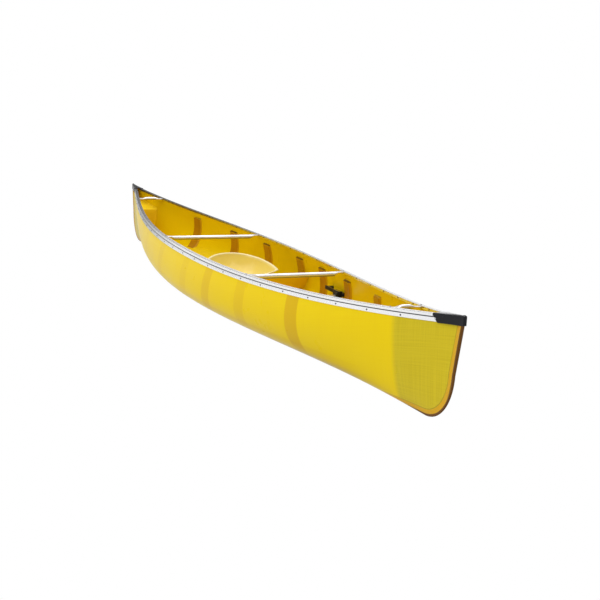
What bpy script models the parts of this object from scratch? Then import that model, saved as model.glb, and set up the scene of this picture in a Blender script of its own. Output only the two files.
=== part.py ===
"""An open solo canoe: a moulded shell with aluminium gunwales, a sliding bucket seat and a foot brace.

Units are metres and +Z is up. X runs along the boat with the bow at +X, +Y is the port side, and the
origin is on the centreline amidships, at the height of the flat of the bottom.
"""

import math

import bmesh
import bpy

# Hull form
LENGTH = 5.03
BEAM = 0.686
DEPTH_MIDSHIPS = 0.335
BOW_HEIGHT = 0.48
STERN_HEIGHT = 0.446
HULL_WALL = 0.003
SHEER_SWEEP = 2.55
PLAN_FULLNESS = 2.05
PLAN_TAPER = 1.24
TUMBLEHOME = 0.14
WIDEST_SHARE = 0.46
BILGE_MIDSHIPS = 2.5
BILGE_ENDS = 1.38
SECTION_FADE = 1.8
ROCKER = 0.007
FLAT_REACH = 0.6
FLAT_HALF_WIDTH = 0.02
FOREFOOT_RUN = 0.24
FOREFOOT_RISE = 0.22
FOREFOOT_ROUND = 0.95
STEM_RAKE = 0.04
MID_STATIONS = 24
END_STATIONS = 6
ROWS = 12

# Clearances
GAP = 0.0004
WALL_GAP = 0.0010
RIM_GAP = 0.0009
END_MARGIN = 0.003
HOLE_CLEARANCE = 0.0003
SLOPE_STEP = 0.004

# Floor core and ribs
CORE_SETBACK = 0.455
CORE_THICKNESS = 0.010
CORE_EDGE_HEIGHT = 0.10
CORE_EDGE_TIP = 0.038
CORE_TAPER = 0.56
CORE_ROWS = 5
CORE_BEDDING = 0.003
RIB_PLACES = (-1.45, -0.90, -0.39, 0.13, 0.49, 0.90, 1.39)
RIB_WIDTH = 0.100
RIB_THICKNESS = 0.012
RIB_BEVEL = 0.010
RIB_DROP = 0.050
RIB_ROWS = 6

# Gunwale extrusion, measured inboard from the hull's outer face and up from its rim
RAIL_CAP_LAP = 0.035
RAIL_PLATE = 0.003
RAIL_OUTER_DEPTH = 0.031
RAIL_INNER_DEPTH = 0.015
RAIL_LIP = 0.010
BEAD = 0.0015
BEAD_DEPTH = 0.009

# Thwarts and carrying handles
THWART_FRONT = 0.891
THWART_REAR = -0.469
HANDLE_BOW_SETBACK = 0.455
HANDLE_STERN_SETBACK = 0.535
THWART_DIAMETER = 0.0254
HANDLE_DIAMETER = 0.020
HANDLE_ARCH = 0.010
TONGUE_THICKNESS = 0.006
TONGUE_WIDTH = 0.032
TONGUE_LENGTH = 0.030
TONGUE_BLEND = 0.035
BOLT_DIAMETER = 0.005
BOLT_HEAD = 0.0088
BOLT_HEAD_HEIGHT = 0.0026
NUT_HEIGHT = 0.004

# Deck end caps
CAP_LENGTH = 0.175
CAP_WALL = 0.0025
CAP_FLANGE = 0.040
CAP_CROWN = 0.007
CAP_NOSE = 0.010
CAP_SCREW_SETBACK = 0.018
SCREW_DIAMETER = 0.004
SCREW_HEAD = 0.009

# Float tanks in the ends
TANK_LENGTH = 0.435
TANK_TOP = 0.300
TANK_LID_RISE = 0.045
TANK_LID_LENGTH = 0.300
TANK_WALL = 0.004

# Seat
SEAT_CORNER_X = 0.112
SEAT_HALF_WIDTH = 0.225
SEAT_DEPTH = 0.266
SEAT_FRONT_HEIGHT = 0.213
SEAT_BACK_HEIGHT = 0.276
SEAT_FLOOR = 0.152
SEAT_LIP_DROP = 0.035
SEAT_NOSE = 0.030
SEAT_WALL = 0.004
SEAT_RIM = 0.010
SEAT_DISH = 2.1
BEAM_TOP = 0.190
BEAM_FOOT = 0.106
BEAM_LEAN = 0.5
BEAM_WEB = 0.009
BEAM_FLANGE = 0.012
BEAM_OVERHANG = 0.018
BEAM_FRONT_SPARE = 0.028
RISER_SPARE = 0.043
RISER_HALF_WIDTH = 0.190
RISER_TOP = 0.180
RISER_THICKNESS = 0.030
SLIDE_TRAVEL = 0.065
SEAT_RAIL_Z = 0.150
SEAT_RAIL_INSET = 0.085
SEAT_RAIL_WIDTH = 0.025
SEAT_RAIL_HEIGHT = 0.012
RAIL_THICKNESS = 0.003
SADDLE_AFT = -0.060
SADDLE_FORE = 0.060
SADDLE_GLUE_LINE = 0.001

# Clamp knobs of the seat and the foot brace
KNOB_RADIUS = 0.012
KNOB_HEIGHT = 0.014
KNOB_LOBES = 5
KNOB_LOBE_DEPTH = 0.09
KNOB_CHAMFER = 0.002
KNOB_SHANK = 0.006
KNOB_REACH = 0.012
BORE_SPARE = 0.002

# Foot brace
FOOT_X = 0.785
FOOT_Z = 0.200
FOOT_RAIL_START = 0.610
FOOT_RAIL_END = 0.843
FOOT_STAND_OFF = 0.01
FOOT_RAIL_THICKNESS = 0.006
FOOT_RAIL_HEIGHT = 0.022
FOOT_TUBE_DIAMETER = 0.0254
FOOT_TUBE_WALL = 0.0016
FOOT_BLOCK_LENGTH = 0.074
FOOT_BLOCK_THICKNESS = 0.0165
FOOT_BLOCK_LIP = 0.005
FOOT_BLOCK_HEEL = 0.004
FOOT_TUBE_DROP = 0.021
BRACKET_WIDTH = 0.025
BRACKET_INSET = 0.012
KNOB_TO_TUBE = 0.0015

SIDES = (("port", 1), ("starboard", -1))

# Colour, roughness and metallic value of each finish
LAMINATE = ((0.86, 0.60, 0.02), 0.35, 0.0)
CORE_SKIN = ((0.62, 0.40, 0.03), 0.45, 0.0)
SEAT_GEL = ((0.80, 0.62, 0.27), 0.25, 0.0)
ALUMINIUM = ((0.80, 0.81, 0.83), 0.35, 1.0)
BLACK_PLASTIC = ((0.03, 0.03, 0.035), 0.40, 0.0)
STAINLESS = ((0.60, 0.60, 0.62), 0.30, 1.0)

FOREFOOT_X = LENGTH / 2 - STEM_RAKE - FOREFOOT_RUN
CAP_START = LENGTH / 2 - CAP_LENGTH
GUNWALE_END = CAP_START + RAIL_CAP_LAP
HANDLE_BOW = LENGTH / 2 - HANDLE_BOW_SETBACK
HANDLE_STERN = HANDLE_STERN_SETBACK - LENGTH / 2
TANK_BULKHEAD = LENGTH / 2 - TANK_LENGTH
CORE_REACH = LENGTH / 2 - CORE_SETBACK
CORE_TAPER_START = CORE_REACH - CORE_TAPER
SEAT_RAIL_Y = SEAT_HALF_WIDTH - SEAT_RAIL_INSET
BEAM_FRONT = SEAT_CORNER_X + SEAT_NOSE + SLIDE_TRAVEL + BEAM_FRONT_SPARE
RISER_FACE = SEAT_CORNER_X - SEAT_DEPTH - SLIDE_TRAVEL - RISER_SPARE
RISER_BACK = RISER_FACE - RISER_THICKNESS
OUTER_FACE = -(RAIL_PLATE + RIM_GAP)
INNER_FACE = HULL_WALL + RIM_GAP
LIP_ROOT = INNER_FACE + RAIL_PLATE
LIP_EDGE = LIP_ROOT + RAIL_LIP
LIP_MIDDLE = (LIP_ROOT + LIP_EDGE) / 2
RAIL_TOP = GAP + RAIL_PLATE
FOOT_KNOB_X = FOOT_X + FOOT_TUBE_DIAMETER / 2 + KNOB_TO_TUBE + KNOB_RADIUS


def clear_scene():
    for old in list(bpy.data.objects):
        bpy.data.objects.remove(old, do_unlink=True)


def limited(value):
    return min(max(value, 0.0), 1.0)


def blend(start, end, share):
    return start + (end - start) * share


def eased(share):
    share = limited(share)
    return share * share * (3 - 2 * share)


def material_for(name, finish):
    colour, roughness, metallic = finish
    material = bpy.data.materials.new(name)
    material.use_nodes = True
    shader = material.node_tree.nodes["Principled BSDF"]
    shader.inputs["Base Color"].default_value = (*colour, 1.0)
    shader.inputs["Roughness"].default_value = roughness
    shader.inputs["Metallic"].default_value = metallic
    return material


def add_object(name, bm, finish, sharp=math.radians(35)):
    """Turns a bmesh into a named object in the scene, smooth but for its sharp edges."""
    bmesh.ops.recalc_face_normals(bm, faces=bm.faces)
    mesh = bpy.data.meshes.new(name)
    bm.to_mesh(mesh)
    bm.free()
    mesh.shade_smooth()
    mesh.set_sharp_from_angle(angle=sharp)
    piece = bpy.data.objects.new(name, mesh)
    bpy.context.scene.collection.objects.link(piece)
    if finish:
        mesh.materials.append(material_for(name, finish))
    else:
        piece.hide_render = True
        piece.display_type = "WIRE"
    return piece


def add_rings(bm, rings, capped=True):
    """Skins a row of closed rings of equal count. Points that coincide become one vertex."""
    known = {}

    def vertex(point):
        key = tuple(round(value, 7) for value in point)
        if key not in known:
            known[key] = bm.verts.new(point)
        return known[key]

    def face(corners):
        kept = [v for i, v in enumerate(corners) if v is not corners[i - 1]]
        if len(kept) > 2:
            bm.faces.new(kept)

    grid = [[vertex(point) for point in ring] for ring in rings]
    for first, second in zip(grid, grid[1:]):
        for i, corner in enumerate(first):
            face([first[i - 1], corner, second[i], second[i - 1]])
    if capped:
        face(grid[0])
        face(grid[-1])


def lofted(name, rings, finish, capped=True):
    bm = bmesh.new()
    add_rings(bm, rings, capped)
    return add_object(name, bm, finish)


def extruded_along_x(name, outline, start, end, finish):
    """A prism whose (y, z) outline runs from x = start to x = end."""
    return lofted(name, [[(x, y, z) for y, z in outline] for x in (start, end)], finish)


def turned(name, profile, segments, finish):
    """A solid of revolution about Z, from (radius, height) points with radius 0 at both ends."""
    bm = bmesh.new()
    rings = []
    for radius, height in profile:
        turns = [2 * math.pi * k / segments for k in range(segments)]
        rings.append([(radius * math.cos(a), radius * math.sin(a), height) for a in turns])
    add_rings(bm, rings, capped=False)
    return add_object(name, bm, finish)


def drill(target, cutter):
    modifier = target.modifiers.new(cutter.name, "BOOLEAN")
    modifier.operation = "DIFFERENCE"
    modifier.solver = "EXACT"
    modifier.object = cutter


def drilling(name, radius, low, high, segments=10):
    """A cutter for a round hole along its own Z, from low to high."""
    return turned(name, [(0, low), (radius, low), (radius, high), (0, high)], segments, None)


# Hull form: half breadths, heights and the lattice that every fitted piece shares


def plan(x, inset=0.0):
    """Half breadth of the hull at the sheer."""
    along = limited(abs(2 * x / LENGTH))
    return max(0.0, BEAM / 2 * (1 - along**PLAN_FULLNESS) ** PLAN_TAPER - inset)


def end_height(x):
    return BOW_HEIGHT if x > 0 else STERN_HEIGHT


def sheer(x):
    return DEPTH_MIDSHIPS + (end_height(x) - DEPTH_MIDSHIPS) * abs(2 * x / LENGTH) ** SHEER_SWEEP


def tip(inset):
    """Where the surface at this inset closes at the stem."""
    share = (inset / (BEAM / 2)) ** (1 / PLAN_TAPER)
    return LENGTH / 2 * (1 - share) ** (1 / PLAN_FULLNESS)


def keel(x, inset=0.0):
    """Height of the bottom and, past the forefoot, of the stem."""
    reach = abs(x)
    rise = max(0.0, (reach - FLAT_REACH) / (FOREFOOT_X - FLAT_REACH))
    if reach <= FOREFOOT_X:
        return inset + ROCKER * rise**2
    run = tip(inset) - STEM_RAKE - FOREFOOT_X
    share = (reach - FOREFOOT_X) / run
    if share < 1:
        angle = math.asin(share ** (1 / FOREFOOT_ROUND))
        return inset + ROCKER + FOREFOOT_RISE * (1 - math.cos(angle))
    heel = inset + ROCKER + FOREFOOT_RISE
    return blend(heel, end_height(x), limited((reach - FOREFOOT_X - run) / STEM_RAKE))


def half_breadth(x, z, inset=0.0):
    along = limited(abs(2 * x / LENGTH))
    fade = 1 - along**SECTION_FADE
    top = sheer(x)
    bottom = keel(x, inset)
    rim = plan(x, inset)
    widest = rim * (1 + TUMBLEHOME * fade)
    power = blend(BILGE_ENDS, BILGE_MIDSHIPS, fade)
    turn = blend(keel(x), top, 1 - (1 - WIDEST_SHARE) * fade)
    if z > turn:
        return widest - (widest - rim) * limited((z - turn) / max(top - turn, 1e-6)) ** 2
    climb = limited((z - bottom) / max(turn - bottom, 1e-6))
    flat = FLAT_HALF_WIDTH * max(0.0, 1 - (x / FOREFOOT_X) ** 2)
    return flat + (widest - flat) * (1 - (1 - climb) ** power) ** (1 / power)


def stem_point(share, inset):
    """A point on the keel and stem line, from the forefoot's start (0) to the stem head (1)."""
    angle = limited(2 * share) * math.pi / 2
    climb = limited(2 * share - 1)
    run = tip(inset) - STEM_RAKE - FOREFOOT_X
    x = FOREFOOT_X + run * math.sin(angle) ** FOREFOOT_ROUND + STEM_RAKE * climb
    heel = inset + ROCKER + FOREFOOT_RISE
    return x, inset + ROCKER + FOREFOOT_RISE * (1 - math.cos(angle)), heel, climb


def station_ends(inset):
    """The (x, z) of each station's foot on the keel and its head on the sheer, from stern to bow."""
    found = []
    for side in (-1, 1):
        half = []
        for i in range(1, END_STATIONS + 1):
            share = i / END_STATIONS
            x, low, heel, climb = stem_point(share, inset)
            z = blend(heel, end_height(side), climb) if climb else low
            head = blend(FOREFOOT_X, tip(inset), share)
            half.append(((side * x, z), (side * head, sheer(side * head))))
        found.append(half)
    middle = []
    for i in range(MID_STATIONS):
        x = blend(-FOREFOOT_X, FOREFOOT_X, i / (MID_STATIONS - 1))
        middle.append(((x, keel(x, inset)), (x, sheer(x))))
    return found[0][::-1] + middle + found[1]


def station_rows(foot, head, inset):
    """Points up one side of a station, from the centreline to the sheer."""
    upright = foot[0] == head[0]
    rows = [(foot[0], 0.0, foot[1])]
    under_rail = max(0.5, 1 - RAIL_OUTER_DEPTH / max(head[1] - foot[1], 1e-6))
    for j in range(1, ROWS + 1):
        share = under_rail * ((j - 1) / (ROWS - 2)) ** 2
        if j == 1 and not upright:
            share = under_rail * 0.25 / (ROWS - 2) ** 2
        if j == ROWS:
            share = 1.0
        x = blend(foot[0], head[0], share)
        z = blend(foot[1], head[1], share)
        rows.append((x, half_breadth(x, z, inset), z))
    return rows


def lattice(inset):
    return [station_rows(foot, head, inset) for foot, head in station_ends(inset)]


def wall_at(x, z, inset):
    """Half breadth of the faceted surface at this inset, amidships of the forefoots."""
    spacing = 2 * FOREFOOT_X / (MID_STATIONS - 1)
    place = limited((x + FOREFOOT_X) / (2 * FOREFOOT_X)) * (MID_STATIONS - 1)
    index = min(int(place), MID_STATIONS - 2)
    share = place - index
    sections = []
    for i in (index, index + 1):
        at = -FOREFOOT_X + i * spacing
        sections.append(station_rows((at, keel(at, inset)), (at, sheer(at)), inset))
    rows = []
    for first, second in zip(*sections):
        rows.append((blend(first[1], second[1], share), blend(first[2], second[2], share)))
    for (y_low, z_low), (y_high, z_high) in zip(rows[1:], rows[2:]):
        if z <= z_high:
            return blend(y_low, y_high, limited((z - z_low) / (z_high - z_low)))
    return rows[-1][0]


def rim_at(x):
    """Half breadth and height of the faceted rim, and how far the side flares out per metre below it."""
    heads = []
    for _, (x_head, z_head) in station_ends(0.0):
        y_head = plan(x_head)
        under = half_breadth(x_head, z_head - RAIL_OUTER_DEPTH)
        heads.append((x_head, y_head, z_head, (under - y_head) / RAIL_OUTER_DEPTH))
    for (x_low, *low), (x_high, *high) in zip(heads, heads[1:]):
        if x <= x_high:
            share = (x - x_low) / (x_high - x_low)
            return [blend(a, b, share) for a, b in zip(low, high)]
    return heads[-1][1:]


def rim_slopes(x):
    """Change of the rim's half breadth and of its height for each metre along the boat."""
    ahead = rim_at(x + SLOPE_STEP)
    behind = rim_at(x - SLOPE_STEP)
    return [(a - b) / (2 * SLOPE_STEP) for a, b in zip(ahead[:2], behind[:2])]


# Hull shell, floor core, ribs and float tanks


def hull_shell():
    rings = []
    for outer, inner in zip(lattice(0.0), lattice(HULL_WALL)):
        port = [(x, y, z) for x, y, z in outer[::-1]]
        starboard = [(x, -y, z) for x, y, z in outer[1:]]
        lining = [(x, -y, z) for x, y, z in inner[::-1]] + [(x, y, z) for x, y, z in inner[1:]]
        rings.append(port + starboard + lining)
    return lofted("hull_shell", rings, LAMINATE, capped=False)


def core_edge(x):
    share = limited((abs(x) - CORE_TAPER_START) / (CORE_REACH - CORE_TAPER_START))
    return blend(CORE_EDGE_HEIGHT, CORE_EDGE_TIP, share)


def core_side(x, inset, top):
    """Points from the centreline to the core's edge on the surface at this inset."""
    low = keel(x, inset)
    points = [(x, 0.0, low)]
    for k in range(1, CORE_ROWS + 1):
        z = blend(low, top, (k / CORE_ROWS) ** 2)
        points.append((x, wall_at(x, z, inset), z))
    return points


def floor_core():
    places = [foot[0] for foot, _ in station_ends(0.0) if abs(foot[0]) < CORE_REACH]
    rings = []
    for x in places:
        edge = core_edge(x)
        under = HULL_WALL + WALL_GAP + CORE_BEDDING * eased((abs(x) - CORE_TAPER_START) / 0.3 + 1)
        lower = core_side(x, under, edge)
        upper = core_side(x, under + CORE_THICKNESS, edge - CORE_THICKNESS / 2)
        ring = lower[::-1] + [(x, -y, z) for x, y, z in lower[1:]]
        ring += [(x, -y, z) for x, y, z in upper[::-1]] + upper[1:]
        rings.append(ring)
    return lofted("floor_core", rings, CORE_SKIN)


def rib(name, middle, side):
    """A foam-cored band from the floor core's edge to just under the gunwale."""
    back = HULL_WALL + WALL_GAP
    rings = []
    for k in range(RIB_ROWS + 1):
        share = k / RIB_ROWS
        proud = RIB_THICKNESS * (0.25 if k == RIB_ROWS else 1.0)
        ring = []
        for offset, inset in ((-1, back), (1, back), (1, back + proud), (-1, back + proud)):
            bevel = RIB_BEVEL if inset > back else 0.0
            x = middle + offset * (RIB_WIDTH / 2 - bevel)
            z = blend(core_edge(x) + GAP + RIB_BEVEL / 2, sheer(x) - RIB_DROP, share)
            ring.append((x, side * wall_at(x, z, inset), z))
        rings.append(ring)
    return lofted(name, rings, CORE_SKIN)


def inner_limit(x, z):
    """Half breadth left for a piece inside the hull, with more room where the ends narrow."""
    if abs(x) < TANK_BULKHEAD:
        return wall_at(x, z, HULL_WALL + WALL_GAP)
    return half_breadth(x, z, HULL_WALL) - END_MARGIN


def float_tank(name, side):
    """The moulded closure of an end: an upright bulkhead and the lid behind it."""
    path = []
    foot = keel(TANK_BULKHEAD, HULL_WALL) + END_MARGIN
    climb = 7
    for k in range(climb + 1):
        z = blend(foot, TANK_TOP, (k / climb) ** 1.5)
        path.append(((TANK_BULKHEAD, z), (TANK_BULKHEAD + TANK_WALL, min(z, TANK_TOP - TANK_WALL))))
    run = 4
    for k in range(1, run + 1):
        share = k / run
        x = TANK_BULKHEAD + TANK_LID_LENGTH * share
        z = TANK_TOP + TANK_LID_RISE * share
        path.append(((x, z), (x, z - TANK_WALL)))
    rings = []
    for (x_top, z_top), (x_low, z_low) in path:
        y_top = min(inner_limit(side * x_top, z_top), inner_limit(side * x_low, z_top))
        y_low = min(inner_limit(side * x_low, z_low), inner_limit(side * x_top, z_low))
        rings.append(
            [
                (side * x_top, -y_top, z_top),
                (side * x_top, y_top, z_top),
                (side * x_low, y_low, z_low),
                (side * x_low, -y_low, z_low),
            ]
        )
    return lofted(name, rings, LAMINATE)


# Gunwales


def gunwale_outline():
    """The extrusion's section as (inboard distance from the hull's outer face, height above its rim)."""
    return (
        (OUTER_FACE, -RAIL_OUTER_DEPTH),
        (OUTER_FACE, -BEAD_DEPTH),
        (OUTER_FACE - BEAD, -BEAD_DEPTH + BEAD),
        (OUTER_FACE - BEAD, RAIL_TOP - BEAD),
        (OUTER_FACE, RAIL_TOP),
        (LIP_EDGE, RAIL_TOP),
        (LIP_EDGE, GAP),
        (LIP_ROOT, GAP),
        (LIP_ROOT, -RAIL_INNER_DEPTH),
        (INNER_FACE, -RAIL_INNER_DEPTH),
        (INNER_FACE, GAP),
        (-RIM_GAP, GAP),
        (-RIM_GAP, -RAIL_OUTER_DEPTH),
    )


def gunwale(name, side):
    places = [rows[-1][0] for rows in lattice(0.0) if abs(rows[-1][0]) < GUNWALE_END]
    rings = []
    for x in [-GUNWALE_END, *places, GUNWALE_END]:
        y, z, flare = rim_at(x)
        ring = []
        for inboard, up in gunwale_outline():
            lean = flare * max(0.0, -up)
            ring.append((x, side * (y - inboard + lean), z + up))
        rings.append(ring)
    return lofted(name, rings, ALUMINIUM)


# Thwarts and carrying handles


def crossbar(name, x, diameter, arch):
    """A tube across the boat whose flattened ends lie under the gunwales' lips."""
    edge, top, _ = rim_at(x)
    plan_slope, rise_slope = rim_slopes(x)
    start = LIP_ROOT + GAP
    flat_end = start + TONGUE_LENGTH
    round_start = flat_end + TONGUE_BLEND
    near = [start, flat_end, flat_end + TONGUE_BLEND * 0.35, flat_end + TONGUE_BLEND * 0.7]
    middle = edge - round_start
    places = [edge - d for d in near]
    places += [middle * share for share in (1, 0.75, 0.4, 0, -0.4, -0.75, -1)]
    places += [-y for y in places[3::-1]]
    rings = []
    for y in places:
        roundness = eased((edge - abs(y) - flat_end) / TONGUE_BLEND)
        half_width = blend(TONGUE_WIDTH, diameter, roundness) / 2
        half_height = blend(TONGUE_THICKNESS, diameter, roundness) / 2
        power = 2 / blend(4.5, 2, roundness)
        lift = arch * (1 - (y / edge) ** 2) * roundness
        ring = []
        for k in range(12):
            angle = 2 * math.pi * (k + 0.5) / 12
            across = math.copysign(abs(math.cos(angle)) ** power, math.cos(angle)) * half_width
            up = math.copysign(abs(math.sin(angle)) ** power, math.sin(angle)) * half_height
            skew = plan_slope * across * (1 - roundness) * math.copysign(1, y)
            z = top - GAP + lift - half_height + up + rise_slope * across
            ring.append((x + across, y + skew, z))
        rings.append(ring)
    return lofted(name, rings, ALUMINIUM)


def thwart_bolt(name, x, side):
    """A machine screw and its nut, made as one turned piece."""
    head_low = RAIL_TOP + GAP
    nut_top = -TONGUE_THICKNESS - GAP
    shank = BOLT_DIAMETER / 2
    head = BOLT_HEAD / 2
    profile = (
        (0, head_low + BOLT_HEAD_HEIGHT),
        (head * 0.6, head_low + BOLT_HEAD_HEIGHT),
        (head, head_low + BOLT_HEAD_HEIGHT * 0.4),
        (head, head_low),
        (shank, head_low),
        (shank, nut_top),
        (head, nut_top),
        (head, nut_top - NUT_HEIGHT),
        (shank, nut_top - NUT_HEIGHT),
        (shank, nut_top - NUT_HEIGHT - shank),
        (0, nut_top - NUT_HEIGHT - shank),
    )
    return place_at_lip(turned(name, profile, 8, STAINLESS), x, side)


def place_at_lip(piece, x, side):
    """Stands a piece that is turned about Z on the middle of the gunwale's lip."""
    edge, height, _ = rim_at(x)
    piece.location = (x, side * (edge - LIP_MIDDLE), height)
    piece.rotation_euler = (0, -math.atan(rim_slopes(x)[1]), 0)
    return piece


# Deck end caps


def cap_section(x, side, outset, top, foot):
    """An upside-down U across the gunwale ends, as (y, z) points from one foot over to the other."""
    edge, _, flare = rim_at(side * min(x, LENGTH / 2))
    half = edge - OUTER_FACE + BEAD + outset + max(0.0, flare) * CAP_FLANGE
    round_off = min(CAP_WALL, half / 3)
    side_up = [(half, foot), (half, top - round_off), (half - round_off, top)]
    return side_up + [(0.0, top + (CAP_CROWN if outset > 2 * GAP else 0))] + [
        (-y, z) for y, z in side_up[::-1]
    ]


def deck_cap(name, side):
    stem_head = LENGTH / 2
    nose_end = stem_head + CAP_NOSE
    rings = []
    for share in (0, 0.06, 0.12, 0.2, 0.5, 0.75, 0.9, 1):
        x = blend(CAP_START, stem_head, share)
        height = sheer(side * x)
        flange = CAP_FLANGE * blend(0.3, 1.0, eased(share / 0.2))
        top = height + RAIL_TOP + GAP + CAP_WALL
        outline = cap_section(x, side, GAP + CAP_WALL, top, height - flange)
        rings.append([(side * x, y, z) for y, z in outline])
    for share, width in ((0.55, 0.85), (1.0, 0.45)):
        x = blend(stem_head, nose_end, share)
        middle = top - CAP_FLANGE / 2
        rings.append([(side * x, y * width, blend(z, middle, 0.25 * share)) for y, z in outline])
    cap = lofted(name, rings, BLACK_PLASTIC)
    hollow = []
    for share in (-0.1, 0.5, 0.75, 0.9, 1):
        x = blend(CAP_START, stem_head + GAP, share)
        height = sheer(side * min(max(x, CAP_START), stem_head))
        outline = cap_section(x, side, GAP, height + RAIL_TOP + GAP, height - 2 * CAP_FLANGE)
        hollow.append([(side * x, y, z) for y, z in outline])
    drill(cap, lofted(name + "_hollow", hollow, None))
    return cap


def place_at_cap(piece, end, side):
    """Lays a piece that is turned about Z on the cap's side flange, head outwards."""
    x = end * (CAP_START + CAP_SCREW_SETBACK)
    edge, height, flare = rim_at(x)
    face = edge - OUTER_FACE + BEAD + GAP + CAP_WALL + max(0.0, flare) * CAP_FLANGE
    piece.location = (x, side * face, height - CAP_SCREW_SETBACK)
    piece.rotation_euler = (-side * math.pi / 2, 0, side * math.atan(rim_slopes(x)[0]))
    return piece


def cap_screw(name, end, side):
    shank = SCREW_DIAMETER / 2
    head = SCREW_HEAD / 2
    depth = CAP_WALL + BEAD + GAP + RAIL_PLATE * 0.7
    profile = (
        (0, 3 * GAP + 0.0022),
        (head * 0.6, 3 * GAP + 0.0018),
        (head, 3 * GAP),
        (shank, 3 * GAP),
        (shank, -depth),
        (0, -depth),
    )
    return place_at_cap(turned(name, profile, 8, STAINLESS), end, side)


# Seat


def seat_edge(turn):
    """The bucket's rim at a turn from 0 (port corner) round the back to 1, then along the front to 2."""
    if turn <= 1:
        angle = math.pi * turn
        aft = math.sin(angle)
        x = SEAT_CORNER_X - SEAT_DEPTH * aft
        return x, SEAT_HALF_WIDTH * math.cos(angle), blend(SEAT_FRONT_HEIGHT, SEAT_BACK_HEIGHT, aft)
    across = 2 * turn - 3
    x = SEAT_CORNER_X + SEAT_NOSE * (1 - across**2)
    return x, SEAT_HALF_WIDTH * across, SEAT_FRONT_HEIGHT - SEAT_LIP_DROP * (1 - across**2)


def seat_point(share, turn):
    """A point on the bucket's upper face; share runs from its lowest point (0) to the rim (1)."""
    x, y, z = seat_edge(turn)
    middle = SEAT_CORNER_X - SEAT_DEPTH * 0.42
    return blend(middle, x, share), y * share, blend(SEAT_FLOOR, z, share**SEAT_DISH)


def seat_turns():
    back = [k / 16 for k in range(17)]
    return back + [1 + k / 6 for k in range(1, 6)]


def seat_bucket():
    """One dished skin with a rolled rim; its under face is the upper one set down by the wall."""
    turns = seat_turns()
    shares = (0.35, 0.6, 0.8, 0.92, 1.0)
    bm = bmesh.new()
    rings = []
    for share in shares:
        rings.append([seat_point(share, turn) for turn in turns])
    lip = []
    for turn in turns:
        x, y, z = seat_edge(turn)
        grow = 1 + SEAT_RIM / SEAT_HALF_WIDTH
        lip.append((blend(SEAT_CORNER_X - SEAT_DEPTH * 0.42, x, grow), y * grow, z - SEAT_WALL / 2))
    rings.append(lip)
    under = [[(x, y, z - SEAT_WALL) for x, y, z in ring] for ring in rings]
    add_rings(bm, rings + under[::-1])
    return add_object("seat_bucket", bm, SEAT_GEL)


def seat_saddle(name, side):
    """The wedge between the bucket's under face and its rail, with a bore for the clamp screw."""
    low = SEAT_RAIL_Z + RAIL_THICKNESS + GAP
    inner = SEAT_RAIL_Y + GAP
    outer = SEAT_RAIL_Y + SEAT_RAIL_WIDTH - RAIL_THICKNESS - GAP
    rings = []
    steps = 7
    for k in range(steps + 1):
        x = blend(SADDLE_AFT, SADDLE_FORE, k / steps)
        tops = [seat_underside(x, y) - SADDLE_GLUE_LINE for y in (inner, outer)]
        ring = [(inner, low), (inner, tops[0]), (outer, tops[1]), (outer, low)]
        rings.append([(x, side * y, z) for y, z in ring])
    saddle = lofted(name, rings, CORE_SKIN)
    radius = KNOB_SHANK / 2 + HOLE_CLEARANCE
    bore = drilling(name + "_bore", radius, -BORE_SPARE, KNOB_REACH + BORE_SPARE)
    place_at_saddle(bore, side)
    drill(saddle, bore)
    return saddle


def seat_underside(x, y):
    """Height of the bucket's under face above a point outside its lowest point."""
    middle = SEAT_CORNER_X - SEAT_DEPTH * 0.42
    low = 0.0
    high = 1.0
    for _ in range(40):
        turn = (low + high) / 4
        edge_x, edge_y, _ = seat_edge(turn)
        if (edge_x - middle) * y > (x - middle) * edge_y:
            low = 2 * turn
        else:
            high = 2 * turn
    edge_x, edge_y, edge_z = seat_edge(low / 2)
    share = y / edge_y
    return blend(SEAT_FLOOR, edge_z, share**SEAT_DISH) - SEAT_WALL


def place_at_saddle(piece, side):
    middle = SEAT_RAIL_Y + (SEAT_RAIL_WIDTH - RAIL_THICKNESS) / 2
    piece.location = ((SADDLE_AFT + SADDLE_FORE) / 2, side * middle, SEAT_RAIL_Z + RAIL_THICKNESS)
    return piece


def beam_face(z):
    """Where the front beam's leaning web faces the seat at this height."""
    return BEAM_FRONT - BEAM_LEAN * (BEAM_TOP - z)


def seat_beam():
    """A wall-to-wall moulding: a leaning web under a flange that overhangs away from the seat."""
    outline = [(beam_face(z), z) for z in (BEAM_TOP, BEAM_FOOT)]
    outline.append((beam_face(BEAM_FOOT) + BEAM_WEB, BEAM_FOOT))
    outline.append((beam_face(BEAM_TOP) + BEAM_WEB, BEAM_TOP))
    edge = beam_face(BEAM_TOP) + BEAM_OVERHANG
    outline += [(edge, BEAM_TOP), (edge, BEAM_TOP + BEAM_FLANGE)]
    outline.append((beam_face(BEAM_TOP), BEAM_TOP + BEAM_FLANGE))
    rings = [[(x, y * inner_limit(x, z), z) for x, z in outline] for y in (-1, 1)]
    return lofted("seat_beam", rings, LAMINATE)


def core_top(x):
    """Points on the floor core's upper face from the centreline to its port edge."""
    return core_side(x, HULL_WALL + WALL_GAP + CORE_THICKNESS, core_edge(x) - CORE_THICKNESS / 2)


def core_height(x, y):
    """Height of the floor core's faceted upper face."""
    for (_, y_low, z_low), (_, y_high, z_high) in zip(core_top(x), core_top(x)[1:]):
        if y <= y_high:
            return blend(z_low, z_high, limited((y - y_low) / (y_high - y_low)))
    return z_high


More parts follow.
